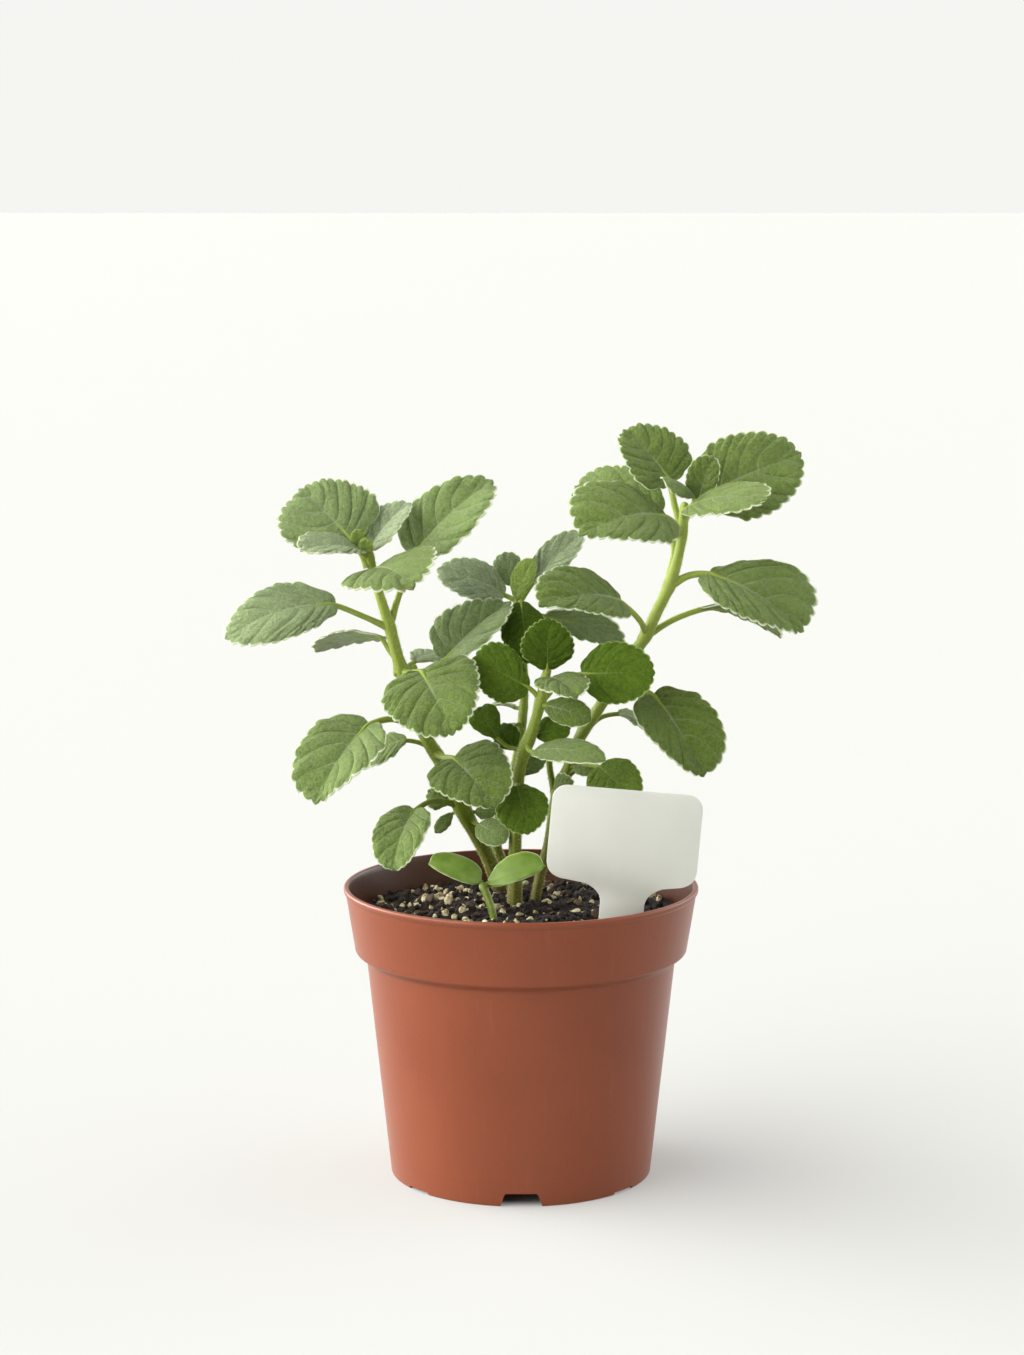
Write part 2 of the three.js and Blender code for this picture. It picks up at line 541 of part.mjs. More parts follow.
function labelOutline(extra) {
  const neck = label.neckWidth / 2 + extra;
  const right = label.headShift + label.headWidth / 2;
  const left = label.headShift - label.headWidth / 2;
  const foot = label.headFoot;
  const top = foot + label.headHeight;
  const round = label.cornerRadius;
  const curve = label.neckCurve;
  const shoulder = foot + label.shoulderRise;
  const corner = foot + label.cornerRise;
  const pointTop = label.pointHeight - label.stakeDepth;
  const shape = new THREE.Shape();
  shape.moveTo(-label.pointWidth / 2 - extra, -label.stakeDepth - extra);
  shape.lineTo(label.pointWidth / 2 + extra, -label.stakeDepth - extra);
  shape.lineTo(neck, pointTop);
  shape.lineTo(neck, foot - curve.startDrop);
  shape.quadraticCurveTo(neck, foot - curve.bendDrop, neck + curve.reach, foot + curve.endRise);
  shape.lineTo(right - round, shoulder);
  shape.quadraticCurveTo(right, corner, right, corner + round);
  shape.lineTo(right, top - round);
  shape.absarc(right - round, top - round, round, 0, Math.PI / 2, false);
  shape.lineTo(left + round, top);
  shape.absarc(left + round, top - round, round, Math.PI / 2, Math.PI, false);
  shape.lineTo(left, corner + round);
  shape.quadraticCurveTo(left, corner, left + round, shoulder);
  shape.lineTo(-neck - curve.reach, foot + curve.endRise);
  shape.quadraticCurveTo(-neck, foot - curve.bendDrop, -neck, foot - curve.startDrop);
  shape.lineTo(-neck, pointTop);
  shape.closePath();
  return shape;
}

function labelGeometry(extra = 0) {
  const thickness = label.thickness + extra * 2;
  const geometry = new THREE.ExtrudeGeometry(labelOutline(extra), {
    depth: thickness,
    bevelEnabled: false,
    curveSegments: 4,
  });
  geometry.translate(0, 0, -thickness / 2);
  geometry.rotateX(Math.PI / 2);
  geometry.rotateY(toRadians(-label.lean));
  geometry.translate(...label.at);
  return geometry;
}

// Pot: a turned shell with a wide band under the rim, cut for drainage.

function bodyInnerRadius(height) {
  const p = potSize;
  return THREE.MathUtils.lerp(p.footRadius, p.bodyTopRadius, height / p.bodyTopHeight) - p.wall;
}

function potManifold() {
  const p = potSize;
  const floorTop = p.floorHeight + p.floorThickness;
  const profile = [
    [0, p.floorHeight],
    [bodyInnerRadius(p.floorHeight), p.floorHeight],
    [p.footRadius - p.wall, 0],
    [p.footRadius, 0],
    [p.bodyTopRadius, p.bodyTopHeight],
    [p.bandFootRadius - p.bandEdge, p.bandFootHeight - p.bandEdge],
    [p.bandFootRadius, p.bandFootHeight],
    [p.bandTopRadius, p.height - p.lip - p.bandEdge],
    [p.rimRadius, p.height - p.lip],
    [p.rimRadius, p.height - p.edge],
    [p.rimRadius - p.edge, p.height],
    [p.rimRadius - p.lip, p.height],
    [p.bandTopRadius - p.wall, p.height - p.lip],
    [p.bandFootRadius - p.wall, p.bandFootHeight + 1],
    [p.bodyTopRadius - p.wall, p.bodyTopHeight],
    [bodyInnerRadius(floorTop), floorTop],
    [0, floorTop],
  ].map(([r, z]) => new Vector2(r, z));
  const turned = new THREE.LatheGeometry(profile, p.sides);
  turned.rotateX(Math.PI / 2);
  let pot = solid(turned);
  for (const { turns, height, footWidth, topWidth, depth } of [deepNotch, lowNotch]) {
    const cut = new THREE.Shape();
    cut.moveTo(-footWidth / 2, -1);
    cut.lineTo(footWidth / 2, -1);
    cut.lineTo(topWidth / 2, height);
    cut.lineTo(-topWidth / 2, height);
    cut.closePath();
    for (const turn of turns) {
      const wedge = new THREE.ExtrudeGeometry(cut, { depth, bevelEnabled: false });
      wedge.rotateX(Math.PI / 2);
      wedge.translate(0, depth / 2 - p.footRadius, 0);
      wedge.rotateZ(toRadians(turn));
      pot = pot.subtract(solid(wedge));
    }
  }
  const { radius, ringRadius, cutLength, sides } = drainHole;
  for (let i = 0; i < drainHole.count; i += 1) {
    const turn = ((i + 0.5) / drainHole.count) * Math.PI * 2;
    const hole = new THREE.CylinderGeometry(radius, radius, cutLength, sides);
    hole.rotateX(Math.PI / 2);
    hole.translate(Math.cos(turn) * ringRadius, Math.sin(turn) * ringRadius, p.floorHeight);
    pot = pot.subtract(solid(hole));
  }
  return pot;
}

// Soil: it fills the pot to 9 mm under the rim, with a lumpy top and crumbs standing out of it.

function soilHeight(x, y) {
  const away = Math.hypot(x, y) / potSize.bandFootRadius;
  const lumps = Math.sin(x * 0.31 + 1) * Math.cos(y * 0.27) + 0.6 * Math.sin(x * 0.13 - y * 0.36 + 2);
  return soilSize.topHeight + soilSize.mound * (0.5 - away ** 2) + soilSize.lump * lumps;
}

function seededRandom(seed) {
  let state = seed;
  return () => {
    state = (state * 16807) % 2147483647;
    return state / 2147483647;
  };
}

function soilManifold() {
  const p = potSize;
  const stems = [leftStem, rightStem, frontStem, backStem, seedlingStem];
  const gap = clearance + slack;
  const bandInnerRadius = (height) => {
    const share = (height - p.bandFootHeight) / (p.height - p.bandFootHeight);
    return THREE.MathUtils.lerp(p.bandFootRadius, p.bandTopRadius, share) - p.wall;
  };
  const foot = p.floorHeight + p.floorThickness + clearance;
  const edge = soilSize.topHeight - 2;
  const profile = [
    [0, foot],
    [bodyInnerRadius(foot) - gap, foot],
    [p.bodyTopRadius - p.wall - clearance, p.bodyTopHeight + slack],
    [p.bandFootRadius - p.wall - gap, p.bandFootHeight + 2],
    [bandInnerRadius(edge) - gap, edge],
    ...soilSize.rings.map((ring) => [ring, soilSize.topHeight]),
  ].map(([r, z]) => new Vector2(r, z));
  const body = new THREE.LatheGeometry(profile, p.sides / 2);
  body.rotateX(Math.PI / 2);
  const place = body.attributes.position;
  for (let i = 0; i < place.count; i += 1) {
    if (place.getZ(i) > soilSize.topHeight - 1) {
      const x = Number(place.getX(i).toFixed(3));
      const y = Number(place.getY(i).toFixed(3));
      place.setZ(i, soilHeight(x, y));
    }
  }
  const pieces = [body];
  const random = seededRandom(7);
  const { labelClear } = soilSize;
  const besideLabel = [-labelClear, 0, labelClear].map((x) => new Vector2(label.at[0] + x, label.at[1]));
  const taken = [...stems.map(stemFoot), ...besideLabel];
  while (pieces.length <= soilSize.crumbs) {
    const turn = random() * Math.PI * 2;
    const away = soilSize.crumbReach * Math.sqrt(random());
    const size = soilSize.crumbRadius * (0.7 + 0.6 * random());
    const x = Math.cos(turn) * away;
    const y = Math.sin(turn) * away;
    if (taken.some((foot) => foot.distanceTo(new Vector2(x, y)) < soilSize.crumbClear)) {
      continue;
    }
    const crumb = new THREE.OctahedronGeometry(size, 0);
    crumb.rotateZ(random() * 3);
    crumb.translate(x, y, soilHeight(x, y) - size * 0.1);
    pieces.push(crumb);
  }
  let soil = joined(pieces);
  for (const stem of stems) {
    soil = soil.subtract(stemHole(stem));
  }
  return soil.subtract(solid(labelGeometry(clearance)));
}

// Assembly

const plant = new THREE.Group();

function addPiece(name, manifold, color, roughness) {
  const material = new THREE.MeshStandardMaterial({ color, roughness, metalness: 0 });
  const mesh = new THREE.Mesh(geometryOf(manifold), material);
  mesh.name = name;
  plant.add(mesh);
}

function seedling() {
  const pieces = [taperedTube(seedlingStem.path.map(point), seedlingStem.radii, 6, 6)];
  for (const leaf of seedLeaves) {
    const smooth = { ...leaf, shape: seedLeafShape, fold: 4, curl: 0.1, arch: 0.06 };
    pieces.push(stalkGeometry({ ...smooth, stalk: 1.3 }), bladeGeometry(smooth, seedBladeThickness));
  }
  return joined(pieces);
}

addPiece("pot", potManifold(), 0xa8644a, 0.45);
addPiece("soil", soilManifold(), 0x2e2219, 0.95);
addPiece("leafy_stem_left", leafyStem([leftStem], leftLeaves, leftBuds), 0x7d9a68, 0.8);
addPiece("leafy_stem_right", leafyStem([rightStem, sideShoot], rightLeaves, rightBuds), 0x5f8440, 0.8);
addPiece("leafy_stem_front", leafyStem([frontStem], frontLeaves, []), 0x4c7030, 0.8);
addPiece("leafy_stem_back", leafyStem([backStem], backLeaves, []), 0x587c38, 0.8);
addPiece("seedling", seedling(), 0x7fae4a, 0.6);
addPiece("plant_label", solid(labelGeometry()), 0xe4e4dc, 0.5);

export default plant;
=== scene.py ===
import math
from functools import partial

import bpy
import numpy as np
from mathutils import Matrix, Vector, noise


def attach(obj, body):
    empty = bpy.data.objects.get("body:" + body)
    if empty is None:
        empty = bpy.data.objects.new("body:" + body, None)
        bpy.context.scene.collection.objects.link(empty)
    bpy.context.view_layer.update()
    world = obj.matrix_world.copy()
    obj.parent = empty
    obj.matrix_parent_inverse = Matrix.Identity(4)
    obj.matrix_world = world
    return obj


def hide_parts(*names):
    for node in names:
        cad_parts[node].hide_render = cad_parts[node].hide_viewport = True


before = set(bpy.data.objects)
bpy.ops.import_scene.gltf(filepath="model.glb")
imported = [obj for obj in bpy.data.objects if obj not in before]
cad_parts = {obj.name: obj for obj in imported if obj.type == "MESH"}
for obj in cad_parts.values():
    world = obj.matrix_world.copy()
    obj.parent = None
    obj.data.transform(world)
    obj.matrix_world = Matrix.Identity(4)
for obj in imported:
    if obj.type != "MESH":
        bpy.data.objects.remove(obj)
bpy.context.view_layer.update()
mm = 0.001
scene = bpy.context.scene
scene.view_settings.view_transform = "Standard"
randomDraw = np.random.default_rng(41)
print("frame loaded")


# small helpers

def deselectAll():
    if bpy.context.mode != "OBJECT":
        bpy.ops.object.mode_set(mode="OBJECT")
    bpy.ops.object.select_all(action="DESELECT")


def makeActive(piece):
    deselectAll()
    piece.select_set(True)
    bpy.context.view_layer.objects.active = piece


def applyModifier(piece, kind, **settings):
    makeActive(piece)
    modifier = piece.modifiers.new(kind.title(), kind)
    for name, value in settings.items():
        setattr(modifier, name, value)
    bpy.ops.object.modifier_apply(modifier=modifier.name)


def mergeAndFaceOut(piece, distance=1e-6):
    makeActive(piece)
    bpy.ops.object.mode_set(mode="EDIT")
    bpy.ops.mesh.select_all(action="SELECT")
    bpy.ops.mesh.remove_doubles(threshold=distance)
    bpy.ops.mesh.normals_make_consistent(inside=False)
    bpy.ops.object.mode_set(mode="OBJECT")


def settle(piece):
    # the place, turn and size go into the mesh, and the object goes to the origin
    makeActive(piece)
    bpy.ops.object.transform_apply(location=True, rotation=True, scale=True)
    return piece


def startPiece(addPrimitive, **settings):
    # a primitive on its own, with its place and size in its mesh
    deselectAll()
    addPrimitive(**settings)
    return settle(bpy.context.object)


def newPiece(name, vertices, faces):
    mesh = bpy.data.meshes.new(name)
    mesh.from_pydata(vertices, [], faces)
    mesh.update()
    piece = bpy.data.objects.new(name, mesh)
    scene.collection.objects.link(piece)
    return piece


def smoothUpTo(degrees, piece):
    # edges sharper than this stay crisp
    makeActive(piece)
    bpy.ops.object.shade_smooth_by_angle(angle=math.radians(degrees))


def joinAs(name, pieces):
    deselectAll()
    for piece in pieces:
        piece.select_set(True)
    bpy.context.view_layer.objects.active = pieces[0]
    if len(pieces) > 1:
        bpy.ops.object.join()
    joined = bpy.context.view_layer.objects.active
    joined.name = name
    joined.data.name = name
    return joined


def finishPiece(piece, material=None, nodes=()):
    if material:
        piece.data.materials.clear()
        piece.data.materials.append(material)
    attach(piece, "root")
    if nodes:
        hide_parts(*nodes)
    print("made", piece.name, len(piece.data.polygons), "faces")


def colour(code):
    # sRGB hex to linear
    channels = [int(code[i:i + 2], 16) / 255 for i in (1, 3, 5)]
    return tuple(c / 12.92 if c <= 0.04045 else ((c + 0.055) / 1.055) ** 2.4 for c in channels) + (1,)


asColour = dict(data_type="RGBA", out=2)
timesColour = dict(data_type="RGBA", blend_type="MULTIPLY", out=2)
smooth = dict(interpolation_type="SMOOTHSTEP")


def addNode(tree, kind, inputs=None, stops=None, out=0, **settings):
    # adds a node, sets or links its inputs, and gives one of its outputs
    node = tree.nodes.new("ShaderNode" + kind)
    for name, value in settings.items():
        setattr(node, name, value)
    if stops:
        ramp = node.color_ramp
        while len(ramp.elements) < len(stops):
            ramp.elements.new(0.5)
        for element, (position, value) in zip(ramp.elements, stops):
            element.position = position
            element.color = colour(value) if isinstance(value, str) else (value, value, value, 1)
    for socket, value in (inputs or {}).items():
        if isinstance(value, bpy.types.NodeSocket):
            tree.links.new(value, node.inputs[socket])
        else:
            node.inputs[socket].default_value = value
    return node.outputs[out] if len(node.outputs) else None


def startNodes(owner):
    # clears the nodes of a material or world, and gives the call that adds one
    owner.use_nodes = True
    owner.node_tree.nodes.clear()
    return partial(addNode, owner.node_tree)


def newMaterial(name):
    material = bpy.data.materials.new(name)
    return material, startNodes(material)


def perMetre(size):
    # how many patterns of this size in mm fit in a metre, which is a texture's scale
    return 1 / (size * mm)


def smoothStep(low, high, value):
    share = np.clip((value - low) / (high - low), 0, 1)
    return share * share * (3 - 2 * share)


def mappedGrid(name, rows, columns, place):
    # a grid whose corners are put in place by their row and column
    piece = startPiece(bpy.ops.mesh.primitive_grid_add, x_subdivisions=rows, y_subdivisions=columns, size=1)
    piece.name = name
    mesh = piece.data
    flat = np.empty(len(mesh.vertices) * 3)
    mesh.vertices.foreach_get("co", flat)
    flat = flat.reshape(-1, 3)
    row = np.rint((flat[:, 0] + 0.5) * rows).astype(int)
    column = np.rint((flat[:, 1] + 0.5) * columns).astype(int)
    places, attributes = place(row, column)
    mesh.vertices.foreach_set("co", (places * mm).ravel())
    for key, values in attributes.items():
        layer = mesh.attributes.new(key, "FLOAT", "POINT")
        layer.data.foreach_set("value", np.asarray(values, np.float32))
    mesh.update()
    return piece


# camera, light and floor

camera = dict(place=(-0.0028, -1.0, 0.3073), tiltDown=8.61, lens=87.36)
light = dict(world="#f5f5f2", behind=0.56, overhead=0.5, panels=[
    dict(at=(-0.93, -0.25, 0.25), strength=6.8, edges=(0.45, 0.97)),
    dict(at=(0.95, -0.05, 0.2), strength=1.3, edges=(0.45, 0.97)),
    dict(at=(-0.84, 0.52, 0.12), strength=8.5, edges=(0.82, 0.96)),
    dict(at=(0.84, 0.52, 0.12), strength=2.2, edges=(0.82, 0.96))])
floor = dict(size=60, shade="#9c9c9a", glow=0.29, dark=0.034, bright=0.041)


def setUpView():
    turn = math.radians(90 - camera["tiltDown"])
    bpy.ops.object.camera_add(location=camera["place"], rotation=(turn, 0, 0))
    viewer = bpy.context.object
    viewer.data.lens = camera["lens"]
    viewer.data.sensor_width = 36
    viewer.data.dof.use_dof = False
    viewer.data.clip_end = 100
    scene.camera = viewer
    world = bpy.data.worlds.new("paleStudio")
    scene.world = world
    add = startNodes(world)
    # a pale tent of light: a wide window on the left, a weaker panel on the right, and one behind each edge
    direction = add("TexCoord", out="Generated")
    panels = 0.0
    for panel in light["panels"]:
        low, high = panel["edges"]
        toward = add("VectorMath", {0: direction, 1: Vector(panel["at"]).normalized()}, out="Value",
                     operation="DOT_PRODUCT")
        lit = add("MapRange", {0: toward, 1: low, 2: high, 3: 0.0, 4: panel["strength"]}, **smooth)
        panels = add("Math", {0: panels, 1: lit}, operation="ADD")
    parts = add("SeparateXYZ", {0: direction}).node.outputs
    sky = add("MapRange", {0: parts[1], 1: -0.6, 2: 0.5, 3: light["behind"], 4: 1.0}, **smooth)
    overhead = add("MapRange", {0: parts[2], 1: 0.25, 2: 0.95, 3: 1.0, 4: light["overhead"]}, **smooth)
    tent = add("Math", {0: sky, 1: overhead, 2: panels}, operation="MULTIPLY_ADD")
    add("OutputWorld", {"Surface": add("Background", {"Color": colour(light["world"]), "Strength": tent})})
    ground = startPiece(bpy.ops.mesh.primitive_plane_add, size=floor["size"])
    ground.name = "floor"
    paint, add = newMaterial("glowingTableTop")
    # a table top that glows by itself, which is painted light: the glow keeps its shadows pale, and is left
    # out under the pot so the floor seen through the notches stays dark
    away = add("VectorMath", {0: add("TexCoord", out="Object")}, out="Value", operation="LENGTH")
    glow = add("MapRange", {0: away, 1: floor["dark"], 2: floor["bright"], 3: 0.0, 4: floor["glow"]},
               **smooth)
    add("OutputMaterial", {"Surface": add("BsdfPrincipled", {
        "Base Color": colour(floor["shade"]), "Roughness": 0.9, "Specular IOR Level": 0.1,
        "Emission Color": colour(light["world"]), "Emission Strength": glow})})
    ground.data.materials.append(paint)
    print("camera, light and floor set")


setUpView()


# the curve that stems and stalks follow: a smooth line through points, with no loops

class SmoothLine:
    def __init__(self, points, samples=400):
        given = np.array(points, float)
        ends = [2 * given[0] - given[1], *given, 2 * given[-1] - given[-2]]
        pieces = []
        perSpan = max(8, samples // (len(given) - 1))
        for before, start, end, after in zip(ends, ends[1:], ends[2:], ends[3:]):
            a, b, c = (max(np.linalg.norm(q - p) ** 0.5, 1e-4)
                       for p, q in ((before, start), (start, end), (end, after)))
            leave = ((start - before) / a - (end - before) / (a + b) + (end - start) / b) * b
            arrive = ((end - start) / b - (after - start) / (b + c) + (after - end) / c) * b
            t = np.linspace(0, 1, perSpan, endpoint=False)[:, None]
            pieces.append(start + leave * t + (3 * (end - start) - 2 * leave - arrive) * t ** 2
                          + (2 * (start - end) + leave + arrive) * t ** 3)
        self.points = np.vstack([*pieces, given[-1:]])
        steps = np.linalg.norm(np.diff(self.points, axis=0), axis=1)
        self.lengths = np.concatenate([[0], np.cumsum(steps)])
        self.length = self.lengths[-1]

    def at(self, share):
        wanted = np.asarray(share) * self.length
        return np.stack([np.interp(wanted, self.lengths, self.points[:, k]) for k in range(3)], -1)

    def frames(self, shares):
        # side vectors that don't twist from one ring to the next
        step = 0.5 / 400
        ahead = self.at(np.clip(shares + step, 0, 1)) - self.at(np.clip(shares - step, 0, 1))
        ahead /= np.linalg.norm(ahead, axis=1)[:, None]
        side = np.cross(ahead[0], (0.3, 1, 0.1))
        sides = []
        for direction in ahead:
            side = side - direction * (side @ direction)
            side = side / np.linalg.norm(side)
            sides.append(side)
        sides = np.array(sides)
        return ahead, sides, np.cross(ahead, sides)


hairSpots = {}


def noteHairs(kind, places, directions, lengths):
    hairSpots.setdefault(kind, []).append((places, directions, lengths))


stemShape = dict(square=0.05, around=20, ringStep=0.9, swell=0.1, swellReach=2.2, hairs=24, hairLength=0.75)
stalkShape = dict(square=0.04, around=10, ringStep=1.3, leastRings=14, hairs=3.5, hairLength=0.45)
seedlingShape = dict(square=0, around=18, rings=34, hairs=10, hairLength=0.4)


def growTube(name, points, radii, rings, shape, joints=(), domed=True, hairy=True):
    # a tapering tube with closed ends, slightly square, which swells where a leaf joins it
    line = SmoothLine(points)
    shares = np.linspace(0, 1, rings + 1)
    radiusAt = np.interp(shares, np.linspace(0, 1, len(radii)), radii)
    for joint in joints:
        away = (shares - joint) * line.length / shape["swellReach"]
        radiusAt = radiusAt * (1 + shape["swell"] * np.exp(-away ** 2))
    ahead, sides, ups = line.frames(shares)
    centres = line.at(shares)
    angles = np.linspace(0, 2 * np.pi, shape["around"] + 1)
    last = rings + 3
    dome = radiusAt[-1] if domed else 0

    def place(row, column):
        ring = np.clip(row - 1, 0, rings)
        angle = angles[column]
        radius = radiusAt[ring] * (1 + shape["square"] * np.cos(4 * angle))
        if domed:
            radius = np.where(row == last - 1, radius * 0.72, radius)
        radius = np.where((row == 0) | (row == last), 0, radius)
        past = dome * np.where(row == last - 1, 0.55, np.where(row == last, 0.85, 0))
        spots = (centres[ring] + sides[ring] * (np.cos(angle) * radius)[:, None]
                 + ups[ring] * (np.sin(angle) * radius)[:, None] + ahead[ring] * past[:, None])
        return spots, {"around": np.cos(4 * angle)}

    tube = mappedGrid(name, last, shape["around"], place)
    mergeAndFaceOut(tube, 2e-6)
    if hairy:
        count = int(shape["hairs"] * line.length)
        share = randomDraw.random(count)
        angle = randomDraw.random(count) * 2 * np.pi
        ring = np.clip(np.rint(share * rings).astype(int), 0, rings)
        outward = sides[ring] * np.cos(angle)[:, None] + ups[ring] * np.sin(angle)[:, None]
        roots = line.at(share) + outward * (radiusAt[ring] * 0.96)[:, None]
        lean = outward + ahead[ring] * randomDraw.normal(0, 0.35, (count, 1))
        lean += randomDraw.normal(0, 0.2, (count, 3))
        lengths = shape["hairLength"] * (0.5 + 0.8 * randomDraw.random(count))
        noteHairs(name.split("_")[0], roots, lean, lengths)
    return tube


# leaves

bladeShape = dict(widen=0.55, narrow=0.58, footShare=0.05, thickness=0.8, foldSoftness=0.8, relief=0.02,
                  leastRelief=0, plainRows=13, midribPower=3, toothStart=0.2, toothDepth=0.052,
                  toothCrest=0.56, toothRound=0.62, lobe=0.05, lobeReach=0.16, lobeRound=0.8, veins=5.6,
                  veinPower=1.7)
seedLeafShape = dict(widen=0.6, narrow=0.6, footShare=0.1, thickness=1.1, foldSoftness=0.8, relief=0,
                     leastRelief=0.1, plainRows=28, midribPower=1.5, toothDepth=0, veins=3.2, veinPower=1.6)
# heights and depths in shares of the relief, and widths in shares of the way from one vein to the next
leafRelief = dict(pillow=0.5, vein=0.75, veinWidth=0.13, twig=0.3, twigWidth=0.12, midrib=0.8, edge=0.5,
                  sway=0.014, ruffle=0.012, veinDrift=0.09)


class Blade:
    def __init__(self, leaf, shape=bladeShape):
        self.shape = shape
        # the half on the left as the leaf grows, and the one on its right
        widen, narrow = leaf.get("wedge", shape["widen"]), leaf.get("taper", shape["narrow"])
        self.halves = {1: (widen, narrow, 1), -1: (
            leaf.get("rightWedge", widen), leaf.get("rightTaper", narrow), leaf.get("rightShare", 1))}
        self.base = np.array(leaf["base"], float)
        along = np.array(leaf["tip"], float) - self.base
        self.length = np.linalg.norm(along)
        self.along = along / self.length
        facing = np.array(leaf["faces"], float)
        facing -= self.along * (facing @ self.along)
        self.facing = facing / np.linalg.norm(facing)
        self.side = np.cross(self.facing, self.along)
        self.half = leaf["width"] / 2
        self.arch = leaf.get("arch", 0.08)
        self.fold = math.radians(leaf.get("fold", 8))
        self.curl = leaf.get("curl", 0.12)
        self.teeth = leaf.get("teeth", 7)
        self.toothDepth = shape["toothDepth"] * leaf.get("cut", 1)

    def place(self, share, distance, raised):
        share, distance = np.broadcast_arrays(np.asarray(share, float), np.asarray(distance, float))
        slope = 4 * self.arch * (1 - 2 * share)
        hump = 4 * share * (1 - share) * self.length
        reach = np.abs(distance) / self.half
        soft = self.shape["foldSoftness"]
        softened = np.sqrt(distance ** 2 + soft) - soft ** 0.5
        normal = self.facing - self.along * slope[..., None]
        normal /= np.linalg.norm(normal, axis=-1)[..., None]
        lift = softened * math.sin(self.fold) - self.curl * self.half * reach ** 2 + raised
        return (self.base + self.along * (share * self.length)[..., None]
                + self.facing * (self.arch * hump)[..., None]
                + self.side * (distance * math.cos(self.fold))[..., None]
                + normal * lift[..., None])

    def smoothMargin(self, share, hand=1):
        widen, narrow, size = self.halves[hand]
        widest = widen / (widen + narrow)
        peak = widest ** widen * (1 - widest) ** narrow
        oval = share ** widen * np.clip(1 - share, 0, 1) ** narrow / peak
        return self.half * size * np.maximum(oval, self.shape["footShare"] * (1 - share))

    def margin(self, perTooth, hand=1, steps=801):
        # rows of the toothed margin from the base to the tip, and their share of its length
        shape = self.shape
        plainRows = shape["plainRows"]
        share = (1 - np.cos(np.linspace(0, np.pi, steps))) / 2
        x, y = share * self.length, self.smoothMargin(share, hand)
        lengths = np.concatenate([[0], np.cumsum(np.hypot(np.diff(x), np.diff(y)))])
        total = lengths[-1]
        if not self.toothDepth:
            rows = total * (1 - np.cos(np.linspace(0, np.pi, plainRows + 1))) / 2
            return np.interp(rows, lengths, x), np.interp(rows, lengths, y), rows / total
        start = np.interp(shape["toothStart"], share, lengths)
        pitch = (total - start) / (self.teeth + 0.5)
        plain = np.linspace(0, start, plainRows, endpoint=False)
        toothed = start + np.arange(self.teeth * perTooth + perTooth // 2 + 1) * pitch / perTooth
        rows = np.concatenate([plain, np.minimum(toothed, total)])
        isPlain = rows < start - 1e-6
        phase = np.where(isPlain, 0, (rows - start) / pitch % 1)
        phase[-1] = 0.5
        lean = math.log(0.5) / math.log(shape["toothCrest"])
        bump = np.where(isPlain, 0, np.abs(np.sin(np.pi * phase ** lean) ** shape["toothRound"]))
        spread = lengths + np.arange(steps) * 1e-9
        outX = np.interp(rows, lengths, -np.gradient(y, spread))
        outY = np.interp(rows, lengths, np.gradient(x, spread))
        depth = self.toothDepth * self.half * 2 * bump / np.hypot(outX, outY)
        marginX = np.interp(rows, lengths, x) + outX * depth
        marginY = np.interp(rows, lengths, y) + outY * depth
        marginY[-1] = 0
        marginX[-1] = self.length + self.toothDepth * self.half * 2 * bump[-1]
        # the base has two small lobes that reach back past the stalk
        early = np.clip(rows / total / shape["lobeReach"], 0, 1)
        marginX -= shape["lobe"] * self.half * 2 * np.sin(np.pi * early) ** shape["lobeRound"]
        return marginX, marginY, rows / total


